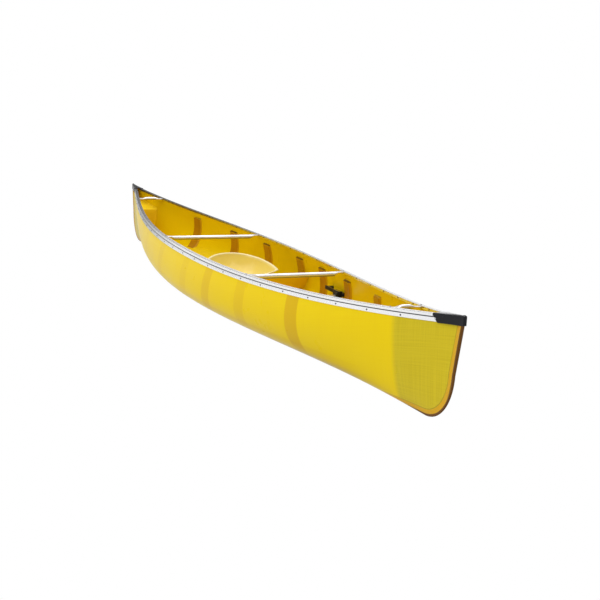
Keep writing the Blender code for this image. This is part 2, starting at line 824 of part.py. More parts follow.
def seat_riser():
    """A moulded block that stands on the floor core and carries the rear ends of the rails."""
    within = [y for _, y, _ in core_top(RISER_FACE)[1:] if y < RISER_HALF_WIDTH]
    places = [0.0, *within, RISER_HALF_WIDTH]
    rings = []
    for y in [-y for y in places[:0:-1]] + places:
        feet = [(x, y, core_height(x, abs(y)) + WALL_GAP) for x in (RISER_BACK, RISER_FACE)]
        rings.append(feet + [(RISER_FACE, y, RISER_TOP), (RISER_BACK, y, RISER_TOP)])
    return lofted("seat_riser", rings, LAMINATE)


def seat_rail(name, side):
    """An angle from the riser to the front beam, slotted for the clamp screw."""
    low = SEAT_RAIL_Z
    inner = SEAT_RAIL_Y
    outer = SEAT_RAIL_Y + SEAT_RAIL_WIDTH
    outline = (
        (inner, low),
        (inner, low + RAIL_THICKNESS),
        (outer - RAIL_THICKNESS, low + RAIL_THICKNESS),
        (outer - RAIL_THICKNESS, low + SEAT_RAIL_HEIGHT),
        (outer, low + SEAT_RAIL_HEIGHT),
        (outer, low),
    )
    rings = [
        [(RISER_FACE + GAP, side * y, z) for y, z in outline],
        [(beam_face(z) - GAP, side * y, z) for y, z in outline],
    ]
    rail = lofted(name, rings, ALUMINIUM)
    half = KNOB_SHANK / 2 + HOLE_CLEARANCE
    reach = SLIDE_TRAVEL + half
    slot = [(-reach, -half), (reach, -half), (reach, half), (-reach, half)]
    rings = [[(x, y, z) for x, y in slot] for z in (-0.01, 0.01)]
    drill(rail, place_at_saddle(lofted(name + "_slot", rings, None), side))
    return rail


def lobed_knob(name, head, reach):
    """A hand knob about Z: its head ends at this height, and its screw runs on up to the reach."""
    outline = (
        (head - KNOB_HEIGHT, KNOB_RADIUS - KNOB_CHAMFER, KNOB_LOBE_DEPTH),
        (head - KNOB_HEIGHT + KNOB_CHAMFER, KNOB_RADIUS, KNOB_LOBE_DEPTH),
        (head, KNOB_RADIUS - KNOB_CHAMFER / 2, KNOB_LOBE_DEPTH),
        (head, KNOB_SHANK / 2, 0.0),
        (reach, KNOB_SHANK / 2, 0.0),
    )
    count = 4 * KNOB_LOBES
    rings = []
    for height, radius, depth in outline:
        ring = []
        for k in range(count):
            angle = 2 * math.pi * k / count
            reduced = radius * (1 - depth * (1 - math.cos(KNOB_LOBES * angle)))
            ring.append((reduced * math.cos(angle), reduced * math.sin(angle), height))
        rings.append(ring)
    return lofted(name, rings, BLACK_PLASTIC)


# Foot brace


def foot_rail_y():
    """The rails' inboard faces are parallel to the centreline, and the hull narrows towards the bow."""
    return wall_at(FOOT_RAIL_END, FOOT_Z, HULL_WALL) - FOOT_STAND_OFF - FOOT_RAIL_THICKNESS


def foot_rail(name, side):
    """A straight bar along the hull's side, held off it by two brackets."""
    half = FOOT_RAIL_HEIGHT / 2
    near = side * foot_rail_y()
    far = side * (foot_rail_y() + FOOT_RAIL_THICKNESS)
    outline = [(near, FOOT_Z - half), (far, FOOT_Z - half), (far, FOOT_Z + half), (near, FOOT_Z + half)]
    return extruded_along_x(name, outline, FOOT_RAIL_START, FOOT_RAIL_END, BLACK_PLASTIC)


def foot_bracket(name, middle, side):
    """A stand-off from the hull's side to the outer face of the rail."""
    half = FOOT_RAIL_HEIGHT / 2 - GAP
    rings = []
    for end in (-1, 1):
        x = middle + end * BRACKET_WIDTH / 2
        near = foot_rail_y() + FOOT_RAIL_THICKNESS + GAP
        ring = [(near, FOOT_Z - half), (near, FOOT_Z + half)]
        ring += [(inner_limit(x, FOOT_Z + half), FOOT_Z + half)]
        ring += [(inner_limit(x, FOOT_Z - half), FOOT_Z - half)]
        rings.append([(x, side * y, z) for y, z in ring])
    return lofted(name, rings, BLACK_PLASTIC)


def foot_block(name, side):
    """The end fitting that runs on the rail, gripping it above and below, with the tube at its foot."""
    half = FOOT_RAIL_HEIGHT / 2 + GAP
    tall = half + FOOT_BLOCK_LIP
    back = foot_rail_y() - GAP
    inner = back - FOOT_BLOCK_THICKNESS
    lip = foot_rail_y() + FOOT_RAIL_THICKNESS + GAP
    foot = FOOT_TUBE_DROP + FOOT_TUBE_DIAMETER / 2 + FOOT_BLOCK_HEEL
    section = [(back, half), (lip, half), (lip, tall), (inner, tall), (inner, -foot), (back, -foot)]
    section += [(back, -tall), (lip, -tall), (lip, -half), (back, -half)]
    outline = [(side * y, FOOT_Z + z) for y, z in section]
    start = FOOT_X - FOOT_BLOCK_LENGTH / 2
    block = extruded_along_x(name, outline, start, start + FOOT_BLOCK_LENGTH, BLACK_PLASTIC)
    reach = FOOT_BLOCK_THICKNESS + FOOT_RAIL_THICKNESS
    bore = drilling(name + "_bore", KNOB_SHANK / 2 + HOLE_CLEARANCE, -reach, reach)
    drill(block, place_at_foot_knob(bore, side))
    return block


def foot_tube():
    """A round tube, open at both ends, between the two end fittings."""
    end = foot_rail_y() - 2 * GAP - FOOT_BLOCK_THICKNESS
    outer = FOOT_TUBE_DIAMETER / 2
    inner = outer - FOOT_TUBE_WALL
    middle = FOOT_Z - FOOT_TUBE_DROP
    bm = bmesh.new()
    rings = []
    for radius, y in ((outer, -end), (outer, end), (inner, end), (inner, -end), (outer, -end)):
        ring = []
        for k in range(16):
            angle = 2 * math.pi * k / 16
            ring.append((FOOT_X + radius * math.cos(angle), y, middle + radius * math.sin(angle)))
        rings.append(ring)
    add_rings(bm, rings, capped=False)
    return add_object("foot_brace_tube", bm, ALUMINIUM)


def place_at_foot_knob(piece, side):
    """Lays a piece that is turned about Z across the rail, its +Z pointing outboard."""
    piece.location = (FOOT_KNOB_X, side * foot_rail_y(), FOOT_Z)
    piece.rotation_euler = (-side * math.pi / 2, 0, 0)
    return piece


# Assembly


def build_hull():
    hull_shell()
    floor_core()
    for number, middle in enumerate(RIB_PLACES, 1):
        for label, side in SIDES:
            rib(f"rib_{number}_{label}", middle, side)
    float_tank("float_tank_bow", 1)
    float_tank("float_tank_stern", -1)


def build_gunwales():
    rails = {side: gunwale(f"gunwale_{label}", side) for label, side in SIDES}
    bars = (
        ("thwart_front", THWART_FRONT, THWART_DIAMETER, 0.0),
        ("thwart_rear", THWART_REAR, THWART_DIAMETER, 0.0),
        ("handle_bow", HANDLE_BOW, HANDLE_DIAMETER, HANDLE_ARCH),
        ("handle_stern", HANDLE_STERN, HANDLE_DIAMETER, HANDLE_ARCH),
    )
    radius = BOLT_DIAMETER / 2 + HOLE_CLEARANCE
    for name, x, diameter, arch in bars:
        bar = crossbar(name, x, diameter, arch)
        for label, side in SIDES:
            cutter = drilling(f"{name}_{label}_hole", radius, -0.03, 0.02, 8)
            place_at_lip(cutter, x, side)
            drill(bar, cutter)
            drill(rails[side], cutter)
            thwart_bolt(f"{name}_bolt_{label}", x, side)
    for end_label, end in (("bow", 1), ("stern", -1)):
        cap = deck_cap(f"deck_cap_{end_label}", end)
        for label, side in SIDES:
            name = f"cap_screw_{end_label}_{label}"
            cutter = drilling(name + "_hole", SCREW_DIAMETER / 2 + HOLE_CLEARANCE, -0.009, 0.01, 8)
            place_at_cap(cutter, end, side)
            drill(cap, cutter)
            drill(rails[side], cutter)
            cap_screw(name, end, side)


def build_seat():
    """The seat's moving pieces hang on an empty that stands on the slide's line."""
    slide = bpy.data.objects.new("seat_slide", None)
    bpy.context.scene.collection.objects.link(slide)
    moving = [seat_bucket()]
    for label, side in SIDES:
        seat_rail(f"seat_rail_{label}", side)
        moving.append(seat_saddle(f"seat_saddle_{label}", side))
        knob = lobed_knob(f"seat_knob_{label}", -RAIL_THICKNESS - GAP, KNOB_REACH)
        moving.append(place_at_saddle(knob, side))
    seat_beam()
    seat_riser()
    for piece in moving:
        piece.parent = slide


def build_foot_brace():
    """The foot brace's moving pieces hang on an empty that stands on the slide's line."""
    slide = bpy.data.objects.new("foot_brace_slide", None)
    bpy.context.scene.collection.objects.link(slide)
    moving = [foot_tube()]
    inset = BRACKET_INSET + BRACKET_WIDTH / 2
    places = (FOOT_RAIL_START + inset, FOOT_RAIL_END - inset)
    for label, side in SIDES:
        foot_rail(f"foot_rail_{label}", side)
        for end, middle in zip(("rear", "front"), places):
            foot_bracket(f"foot_bracket_{label}_{end}", middle, side)
        moving.append(foot_block(f"foot_block_{label}", side))
        knob = lobed_knob(f"foot_knob_{label}", -FOOT_BLOCK_THICKNESS - 2 * GAP, -GAP)
        moving.append(place_at_foot_knob(knob, side))
    for piece in moving:
        piece.parent = slide


clear_scene()
build_hull()
build_gunwales()
build_seat()
build_foot_brace()
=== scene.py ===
"""The looks of an open solo canoe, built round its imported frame. Metres, +X to the bow, +Y to port."""

import math

import bmesh
import bpy
import numpy as np
from mathutils import Matrix, Vector


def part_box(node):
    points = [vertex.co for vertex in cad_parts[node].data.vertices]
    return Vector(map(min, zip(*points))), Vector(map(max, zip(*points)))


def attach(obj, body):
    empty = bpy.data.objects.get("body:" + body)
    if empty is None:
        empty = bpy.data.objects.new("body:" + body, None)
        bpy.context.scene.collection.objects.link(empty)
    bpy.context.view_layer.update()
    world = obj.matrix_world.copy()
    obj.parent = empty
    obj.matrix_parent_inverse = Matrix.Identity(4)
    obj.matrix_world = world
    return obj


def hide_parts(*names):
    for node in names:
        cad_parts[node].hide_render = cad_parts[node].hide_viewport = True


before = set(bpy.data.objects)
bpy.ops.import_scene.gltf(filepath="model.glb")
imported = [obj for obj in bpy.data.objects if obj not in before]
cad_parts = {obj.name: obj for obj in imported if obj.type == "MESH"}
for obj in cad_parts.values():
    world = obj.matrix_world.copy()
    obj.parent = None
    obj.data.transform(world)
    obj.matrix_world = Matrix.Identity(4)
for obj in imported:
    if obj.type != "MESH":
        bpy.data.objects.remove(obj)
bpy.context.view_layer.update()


def middle_of(node):
    low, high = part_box(node)
    return (low + high) / 2


HULL_LOW, HULL_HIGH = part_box("hull_shell")
SIDES = (("port", 1), ("starboard", -1))
ENDS = (("bow", 1), ("stern", -1))

# Hull form
LENGTH = HULL_HIGH.x - HULL_LOW.x
BEAM = 0.686
DEPTH_MIDSHIPS = 0.335
BOW_HEIGHT = HULL_HIGH.z
STERN_HEIGHT = 0.446
HULL_WALL = 0.003
SHEER_SWEEP = 2.55
PLAN_FULLNESS = 2.05
PLAN_TAPER = 1.24
TUMBLEHOME = 0.14
WIDEST_SHARE = 0.46
BILGE_MIDSHIPS = 2.5
BILGE_ENDS = 1.38
SECTION_FADE = 1.8
ROCKER = 0.007
FLAT_REACH = 0.6
FLAT_HALF_WIDTH = 0.02
FOREFOOT_RUN = 0.205
FOREFOOT_RISE = 0.22
FOREFOOT_ROUND = 0.95
STEM_RAKE = 0.04
STEM_RADIUS = 0.0092
FOREFOOT_RADIUS = 0.0035
FOREFOOT_X = LENGTH / 2 - STEM_RAKE - FOREFOOT_RUN
MID_STATIONS = 120
END_STATIONS = 36
ROUND_ROWS = 5
SIDE_ROWS = 44
SIDE_SPREAD = 2.1

# Floor panel and side bands
CORE_THICKNESS = 0.010
CORE_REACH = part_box("floor_core")[1].x
CORE_TAPER = 0.56
CORE_EDGE = (0.10, 0.038)
CORE_SPREAD = 2.2
BAND_COUNT = 7
BAND_PROUD = 0.012
BAND_BEVEL = 0.011
BAND_END_SLOPE = 0.007
BAND_DROP = 0.050
BANDS = [middle_of(f"rib_{k}_port").x for k in range(1, BAND_COUNT + 1)]
BAND_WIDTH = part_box("rib_1_port")[1].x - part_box("rib_1_port")[0].x

# Gunwale extrusion, as inboard distance from the hull's outer face and height above its rim
RAIL_GAP = 0.0009
RAIL_PLATE = 0.003
RAIL_TOP = 0.0034
RAIL_OUTER_DEPTH = 0.031
RAIL_INNER_DEPTH = 0.015
RAIL_LIP = 0.010
RAIL_BEAD = 0.0015
BEAD_DEPTH = 0.0095
GROOVE_WIDTH = 0.0042
GROOVE_DEPTH = 0.0014
RAIL_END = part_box("gunwale_port")[1].x
OUTER_FACE = -(RAIL_PLATE + RAIL_GAP)
INNER_FACE = HULL_WALL + RAIL_GAP
LIP_ROOT = INNER_FACE + RAIL_PLATE
LIP_EDGE = LIP_ROOT + RAIL_LIP
RIVET_SPACING = 0.2121
RIVET_START = 0.0277
RIVET_RADIUS = 0.0042
RIVET_RISE = 0.0019

# Bars across the boat
THWART_DIAMETER = 0.0254
HANDLE_DIAMETER = 0.020
HANDLE_ARCH = 0.010
TONGUE_THICKNESS = 0.006
TONGUE_WIDTH = 0.032
TONGUE_LENGTH = 0.030
TONGUE_BLEND = 0.035
TONGUE_START = LIP_ROOT + 0.0004

# Deck caps
CAP_LENGTH = 0.175
CAP_WALL = 0.0025
CAP_FLANGE = 0.035
CAP_CROWN = 0.002
CAP_NOSE = 0.005
CAP_NOSE_DROP = 0.005
CAP_NOSE_RISE = 0.004
CAP_ROUND = 0.0045
CAP_DENT = 0.012
CAP_LIP = 0.0022
CAP_SCREW_BACK = 0.018
CAP_START = LENGTH / 2 - CAP_LENGTH

# Float tanks
TANK_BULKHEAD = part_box("float_tank_bow")[0].x
TANK_TOP = 0.300
TANK_LID_RISE = 0.045
TANK_LID_LENGTH = 0.300
TANK_WALL = 0.004
TANK_ROUND = 0.014
TANK_FILLET = 0.011
TANK_BITE = 0.0006

# Seat
SEAT_CORNER_X = 0.112
SEAT_HALF_WIDTH = 0.225
SEAT_DEPTH = 0.266
SEAT_FRONT_HEIGHT = 0.213
SEAT_BACK_HEIGHT = 0.276
SEAT_FLOOR = 0.152
SEAT_LIP_DROP = 0.035
SEAT_NOSE = 0.030
SEAT_WALL = 0.004
SEAT_ROLL = 0.0048
SEAT_DISH = 2.1
SEAT_MIDDLE = SEAT_CORNER_X - SEAT_DEPTH * 0.42
KNOB_RADIUS = 0.012
FOOT_TUBE_WALL = 0.0016

# Seat knobs and foot knobs, as rings of (radius, height, depth of the lobes)
KNOB_LOBES = 5
KNOB_STUD = 0.0029
KNOB_PROFILE = (
    (0.004, 0.0, 0.0), (0.0075, 0.0004, 0.02), (0.0095, 0.0012, 0.06), (0.0112, 0.003, 0.09),
    (0.012, 0.005, 0.10), (0.012, 0.010, 0.10), (0.0115, 0.0125, 0.09), (0.0102, 0.014, 0.06),
)

# Screws, as (radius, height) from the socket's edge to the shank's end; sockets as (flats, depth)
BOLT_PROFILE = (
    (0.0022, 0.0064), (0.0034, 0.0060), (0.0042, 0.0050), (0.0044, 0.0040), (0.0044, 0.0036),
    (0.0025, 0.0036), (0.0025, -0.0064),
)
BOLT_SOCKET = (0.0026, 0.0014)
BOLT_TAIL = ((0.0034, -0.0108), (0.0025, -0.0108), (0.0025, -0.0126))
NUT_FLATS = 0.0080
NUT_HEIGHTS = (-0.0064, -0.0104)
CAP_SCREW_PROFILE = (
    (0.0016, 0.0022), (0.0034, 0.0020), (0.0043, 0.0012), (0.0045, 0.0004), (0.0045, 0.0),
    (0.0020, 0.0), (0.0020, -0.006),
)
CAP_SCREW_SOCKET = (0.0024, 0.0012)
SCREW_SIDES = 24

# Cloth
CLOTH_PITCH = 0.0021
BAND_SHOWS = (0.08, 0.10, 0.14, 0.14, 0.34, 0.26, 0.62)
BAND_SHADE = (0.68, 0.38, 0.006)
BARE_SHADE = (0.66, 0.53, 0.020)
BARE_DEEP = (0.54, 0.42, 0.012)
# Painted shade along the keel and the lower bilge
KEEL_PAINTED_SHADE = (0.30, 0.14, 0.006)
TAPE_SHADE = (0.76, 0.38, 0.012)
TAPE_REACH = 0.034
SEAM_SHADE = (0.30, 0.18, 0.02)
# Painted shade on the stem's rounded nose
NOSE_PAINTED_SHADE = (0.115, 0.042, 0.012)
NOSE_REACH = 0.015

# Surround, as (height of a direction, brightness), then lights, as (name, place, size, watts)
SURROUND = (
    (-1.0, 0.22), (-0.66, 0.30), (-0.54, 1.0), (0.17, 1.0),
    (0.25, 0.12), (0.42, 0.12), (0.58, 0.75), (1.0, 0.72),
)
LIGHTS = (("key", (3.5, -5.5, 5.0), 4.0, 150.0), ("top", (-1.0, 1.0, 6.0), 6.0, 250.0))
LIGHT_AIM = Vector((0.3, 0, 0.2))

# Camera, angles in radians
EYE = (5.6932, -2.144, 1.3289)
YAW, PITCH, ROLL = 2.716, 0.2117, 0.0497
FOCAL_LENGTH = 60.18


def limited(value):
    return min(max(value, 0.0), 1.0)


def blend(start, end, share):
    return start + (end - start) * share


def eased(share):
    share = limited(share)
    return share * share * (3 - 2 * share)


def signed_power(value, power):
    return math.copysign(abs(value) ** power, value)


# Hull form


def plan(x, inset=0.0):
    along = limited(abs(2 * x / LENGTH))
    return max(0.0, BEAM / 2 * (1 - along**PLAN_FULLNESS) ** PLAN_TAPER - inset)


def end_height(x):
    return BOW_HEIGHT if x > 0 else STERN_HEIGHT


def sheer(x):
    along = limited(abs(2 * x / LENGTH))
    return DEPTH_MIDSHIPS + (end_height(x) - DEPTH_MIDSHIPS) * along**SHEER_SWEEP


def tip(inset):
    share = (inset / (BEAM / 2)) ** (1 / PLAN_TAPER)
    return LENGTH / 2 * (1 - share) ** (1 / PLAN_FULLNESS)


def keel(x, inset=0.0):
    reach = abs(x)
    rise = max(0.0, (reach - FLAT_REACH) / (FOREFOOT_X - FLAT_REACH))
    if reach <= FOREFOOT_X:
        return inset + ROCKER * rise**2
    run = tip(inset) - STEM_RAKE - FOREFOOT_X
    share = (reach - FOREFOOT_X) / run
    if share < 1:
        angle = math.asin(share ** (1 / FOREFOOT_ROUND))
        return inset + ROCKER + FOREFOOT_RISE * (1 - math.cos(angle))
    heel = inset + ROCKER + FOREFOOT_RISE
    return blend(heel, end_height(x), limited((reach - FOREFOOT_X - run) / STEM_RAKE))


def half_breadth(x, z, inset=0.0):
    along = limited(abs(2 * x / LENGTH))
    fade = 1 - along**SECTION_FADE
    top = sheer(x)
    bottom = keel(x, inset)
    rim = plan(x, inset)
    widest = rim * (1 + TUMBLEHOME * fade)
    power = blend(BILGE_ENDS, BILGE_MIDSHIPS, fade)
    turn = blend(keel(x), top, 1 - (1 - WIDEST_SHARE) * fade)
    if z > turn:
        return widest - (widest - rim) * limited((z - turn) / max(top - turn, 1e-6)) ** 2
    climb = limited((z - bottom) / max(turn - bottom, 1e-6))
    flat = FLAT_HALF_WIDTH * max(0.0, 1 - (x / FOREFOOT_X) ** 2)
    return flat + (widest - flat) * (1 - (1 - climb) ** power) ** (1 / power)


def flare_at(x):
    """How far the side spreads for each metre below the rim."""
    return (half_breadth(x, sheer(x) - RAIL_OUTER_DEPTH) - plan(x)) / RAIL_OUTER_DEPTH


def slopes_at(x, step=0.004):
    """Change of the rim's half breadth and of its height for each metre along the boat."""
    spread = (plan(x + step) - plan(x - step)) / (2 * step)
    return spread, (sheer(x + step) - sheer(x - step)) / (2 * step)


def station_ends(inset):
    """The (x, z) of each station's foot on the keel or stem and of its head, from stern to bow."""
    found = []
    for side in (-1, 1):
        half = []
        for i in range(1, END_STATIONS + 1):
            share = i / END_STATIONS
            angle = limited(2 * share) * math.pi / 2
            climb = limited(2 * share - 1)
            run = tip(inset) - STEM_RAKE - FOREFOOT_X
            x = FOREFOOT_X + run * math.sin(angle) ** FOREFOOT_ROUND + STEM_RAKE * climb
            heel = inset + ROCKER + FOREFOOT_RISE
            low = inset + ROCKER + FOREFOOT_RISE * (1 - math.cos(angle))
            z = blend(heel, end_height(side), climb) if climb else low
            head = blend(FOREFOOT_X, tip(inset), share)
            half.append(((side * x, z), (side * head, sheer(side * head))))
        found.append(half)
    middle = []
    for i in range(MID_STATIONS):
        x = blend(-FOREFOOT_X, FOREFOOT_X, i / (MID_STATIONS - 1))
        middle.append(((x, keel(x, inset)), (x, sheer(x))))
    return found[0][::-1] + middle + found[1]


def station_rows(foot, head, inset):
    """Points up one side of a station. The first few round the stem off."""
    length = math.dist(foot, head)
    climb = limited((foot[1] - ROCKER) / (end_height(foot[0]) - ROCKER))
    ahead = limited((abs(foot[0]) - FOREFOOT_X) / 0.06)
    radius = max(blend(FOREFOOT_RADIUS, STEM_RADIUS, climb) * ahead - 2 * inset, 0.0002)
    rows = [(foot[0], 0.0, foot[1])]
    for j in range(1, ROUND_ROWS + SIDE_ROWS + 1):
        if j <= ROUND_ROWS:
            away = radius * (1 - math.cos(math.pi / 2 * j / ROUND_ROWS))
        else:
            away = blend(radius, length, ((j - ROUND_ROWS) / SIDE_ROWS) ** SIDE_SPREAD)
        share = limited(away / max(length, 1e-6))
        x = blend(foot[0], head[0], share)
        z = blend(foot[1], head[1], share)
        inside = max(0.0, radius - away)
        rounded = math.sqrt(radius**2 - inside**2)
        rows.append((x, max(half_breadth(x, z, inset), rounded * (1 - share)), z))
    return rows


# Mesh making


def add_rings(bm, rings, capped=True, second_from=None):
    """Skins a row of rings of equal count, its columns from second_from on in the second material.

    Points that coincide become one vertex.
    """
    known = {}

    def vertex(point):
        key = tuple(round(value, 6) for value in point)
        if key not in known:
            known[key] = bm.verts.new(point)
        return known[key]

    def face(corners, slot=0):
        kept = [v for i, v in enumerate(corners) if v is not corners[i - 1]]
        if len(kept) > 2 and len(set(kept)) == len(kept):
            bm.faces.new(kept).material_index = slot

    grid = [[vertex(point) for point in ring] for ring in rings]
    for first, second in zip(grid, grid[1:]):
        for i in range(len(first)):
            slot = int(second_from is not None and (i >= second_from or i == 0))
            face([first[i - 1], first[i], second[i], second[i - 1]], slot)
    if capped:
        face(grid[0])
        face(grid[-1])


def piece_from(name, bm, sharp=35):
    bmesh.ops.recalc_face_normals(bm, faces=bm.faces)
    mesh = bpy.data.meshes.new(name)
    bm.to_mesh(mesh)
    bm.free()
    mesh.shade_smooth()
    mesh.set_sharp_from_angle(angle=math.radians(sharp))
    piece = bpy.data.objects.new(name, mesh)
    bpy.context.scene.collection.objects.link(piece)
    return piece


def lofted(name, rings, sharp=35, capped=True, second_from=None):
    bm = bmesh.new()
    add_rings(bm, rings, capped, second_from)
    return piece_from(name, bm, sharp)


def both_sides(upper, lower):
    """A ring from two rows that start on the centreline: one over both sides, the other back."""
    ring = upper[::-1] + [(x, -y, z) for x, y, z in upper[1:]]
    return ring + [(x, -y, z) for x, y, z in lower[::-1]] + lower[1:]


def applied(piece):
    """Makes what the modifiers show the piece's own mesh."""
    view = bpy.context.evaluated_depsgraph_get()
    mesh = bpy.data.meshes.new_from_object(piece.evaluated_get(view))
    piece.modifiers.clear()
    old = piece.data
    piece.data = mesh
    bpy.data.meshes.remove(old)
    return piece


def placed(piece, matrix):
    """Moves the mesh and leaves the object at the origin."""
    piece.data.transform(matrix)
    return piece


def refined(node, name, width, segments=3):
    """A CAD solid with its edges broken: a merged copy, its flat faces whole, under a Bevel."""
    bm = bmesh.new()
    bm.from_mesh(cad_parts[node].data)
    bmesh.ops.remove_doubles(bm, verts=bm.verts, dist=0.00002)
    bmesh.ops.dissolve_limit(bm, angle_limit=math.radians(1), verts=bm.verts, edges=bm.edges)
    piece = piece_from(name, bm, 30)
    bevel = piece.modifiers.new("bevel", "BEVEL")
    bevel.width = width
    bevel.segments = segments
    bevel.limit_method = "ANGLE"
    bevel.angle_limit = math.radians(35)
    applied(piece)
    piece.data.shade_smooth()
    piece.data.set_sharp_from_angle(angle=math.radians(40))
    return piece


def set_field(piece, name, values):
    """Stores one vector for each vertex under a name that a material reads."""
    field = piece.data.attributes.new(name, "FLOAT_VECTOR", "POINT")
    field.data.foreach_set("vector", np.asarray(values, np.float32).ravel())


def lay_field(piece, name, columns):
    """Stores the three arrays that columns(x, y, z) makes of the vertices' places."""
    places = np.zeros(len(piece.data.vertices) * 3)
    piece.data.vertices.foreach_get("co", places)
    set_field(piece, name, np.stack(columns(*places.reshape(-1, 3).T), axis=1))


def nearest(x, y, z, line, batch=2000):
    """Distance from each place to the nearest point of the line."""
    points = np.stack([x, y, z], axis=1)[:, None, :]
    found = []
    for start in range(0, len(points), batch):
        apart = points[start : start + batch] - line
        found.append(np.linalg.norm(apart, axis=2).min(axis=1))
    return np.concatenate(found)


# Materials


def feed(tree, socket, value):
    """Links a Wire or a node's output to the socket, or sets a plain value on it."""
    value = value.socket if isinstance(value, Wire) else value
    if isinstance(value, bpy.types.NodeSocket):
        tree.links.new(value, socket)
    else:
        socket.default_value = value


def add_node(tree, kind, settings=None, values=None):
    """A new node, its inputs fed by name or by number."""
    made = tree.nodes.new(kind)
    for name, value in (settings or {}).items():
        setattr(made, name, value)
    for name, value in (values or {}).items():
        feed(tree, made.inputs[name], value)
    return made


class Wire:
    """A value in a material. Arithmetic on it adds Math nodes."""

    def __init__(self, finish, socket):
        self.finish = finish
        self.socket = socket

    def math(self, operation, *others, clamp=False):
        values = dict(enumerate((self, *others)))
        return self.finish.node("ShaderNodeMath", {"operation": operation, "use_clamp": clamp}, values)

    def __add__(self, other):
        return self.math("ADD", other)

    def __sub__(self, other):
        return self.math("SUBTRACT", other)

    def __mul__(self, other):
        return self.math("MULTIPLY", other)

    def __truediv__(self, other):
        return self.math("DIVIDE", other)

    def __rsub__(self, other):
        return self.finish.node("ShaderNodeMath", {"operation": "SUBTRACT"}, {0: other, 1: self})

    def size(self):
        return self.math("ABSOLUTE")

    def ramp(self, low, high):
        """0 below low and 1 above high, eased between; falls instead where low is above high."""
        values = {"Value": self, "From Min": low, "From Max": high}
        return self.finish.node("ShaderNodeMapRange", {"interpolation_type": "SMOOTHSTEP"}, values)


class Finish:
    """One material, on a Principled shader."""

    def __init__(self, name, colour, roughness, metallic=0.0, specular=0.5, coat=(0.0, 0.03)):
        self.material = bpy.data.materials.new(name)
        self.material.use_nodes = True
        self.tree = self.material.node_tree
        self.shader = self.tree.nodes["Principled BSDF"]
        self.set(Base_Color=(*colour, 1.0), Roughness=roughness, Metallic=metallic)
        self.set(Specular_IOR_Level=specular, Coat_Weight=coat[0], Coat_Roughness=coat[1])

    def node(self, kind, settings=None, values=None, output=0):
        return Wire(self, add_node(self.tree, kind, settings, values).outputs[output])

    def place(self):
        """Place on the object, in metres."""
        return self.node("ShaderNodeTexCoord", output="Object")

    def field(self, name):
        return self.node("ShaderNodeAttribute", {"attribute_name": name}, output="Vector")

    def parts(self, vector):
        return [self.node("ShaderNodeSeparateXYZ", {}, {0: vector}, output=k) for k in range(3)]

    def joined(self, x, y, z):
        return self.node("ShaderNodeCombineXYZ", {}, {0: x, 1: y, 2: z})

    def stretched(self, vector, scale):
        return self.node("ShaderNodeMapping", {}, {"Vector": vector, "Scale": scale})

    def noise(self, vector, scale, detail=3.0, roughness=0.5):
        values = {"Vector": vector, "Scale": scale, "Detail": detail, "Roughness": roughness}
        return self.node("ShaderNodeTexNoise", {}, values)

    def mixed(self, first, second, share):
        """Colour that goes from first to second with share."""
        picked = self.node("ShaderNodeMix", {"data_type": "RGBA"}, {0: share}, output=2)
        mixer = picked.socket.node
        for place, colour in ((6, first), (7, second)):
            value = colour if isinstance(colour, Wire) else (*colour, 1.0)
            feed(self.tree, mixer.inputs[place], value)
        return picked

    def raised(self, height, distance, strength=1.0):
        values = {"Height": height, "Distance": distance, "Strength": strength}
        return self.node("ShaderNodeBump", {}, values)

    def set(self, **values):
        """Feeds the shader's inputs, named with _ for each space."""
        for name, value in values.items():
            feed(self.tree, self.shader.inputs[name.replace("_", " ")], value)
        return self.material


def weave_of(along, across):
    """Plain weave: at each crossing one tow arches over the other."""
    warp = along / CLOTH_PITCH
    weft = across / CLOTH_PITCH
    turn = (warp.math("FLOOR") + weft.math("FLOOR")).math("MODULO", 2.0).size()
    over = (warp * math.pi).math("SINE").size()
    under = (weft * math.pi).math("SINE").size()
    return over * turn + under * (1 - turn)


def tows_of(finish, along, across):
    """Slow differences between one tow and the next, both ways across the cloth, about 0.5."""
    warp = finish.noise(finish.joined(along * 3.0, across * 190.0, 0.0), 1.0, 2.0)
    weft = finish.noise(finish.joined(along * 190.0, across * 3.0, 7.0), 1.0, 2.0)
    return (warp + weft) * 0.5


def outside_marks(finish, colour, tows, away):
    """What the outer skin shows: cores behind it, bare ends, keel tape; painted shade on keel and stem.
    """
    x, _, z = finish.parts(finish.place())
    for place, strength in zip(BANDS, BAND_SHOWS):
        band = (x - place).size().ramp(BAND_WIDTH / 2 + 0.005, BAND_WIDTH / 2 - 0.005)
        colour = finish.mixed(colour, BAND_SHADE, band * z.ramp(0.03, 0.10) * strength)
    core = z.ramp(CORE_EDGE[0] + 0.012, CORE_EDGE[0] - 0.004)
    core *= x.size().ramp(CORE_REACH, CORE_REACH - 0.5)
    colour = finish.mixed(colour, BAND_SHADE, core * 0.16)
    # Painted shade: brown along the keel and the lower bilge, darkest at the bottom edge
    keel_painted_shade = z.ramp(0.075, 0.012) * x.size().ramp(2.1, 1.4)
    colour = finish.mixed(colour, KEEL_PAINTED_SHADE, keel_painted_shade * 0.8)
    end = x.size().ramp(TANK_BULKHEAD + 0.005, TANK_BULKHEAD + 0.045)
    grid = (tows - 0.42).math("MULTIPLY", 3.2, clamp=True)
    colour = finish.mixed(colour, finish.mixed(BARE_SHADE, BARE_DEEP, grid), end * 0.85)
    colour = finish.mixed(colour, TAPE_SHADE, away.ramp(TAPE_REACH, TAPE_REACH - 0.005) * 0.8)
    seam = away.ramp(TAPE_REACH + 0.0035, TAPE_REACH) * away.ramp(TAPE_REACH - 0.003, TAPE_REACH)
    colour = finish.mixed(colour, SEAM_SHADE, seam * 0.6)
    # Painted shade: the stem's rounded nose near the ends is painted dark brown
    nose_painted_shade = away.ramp(NOSE_REACH, NOSE_REACH - 0.0045) * x.size().ramp(1.9, 2.3)
    return finish.mixed(colour, NOSE_PAINTED_SHADE, nose_painted_shade * 0.94)


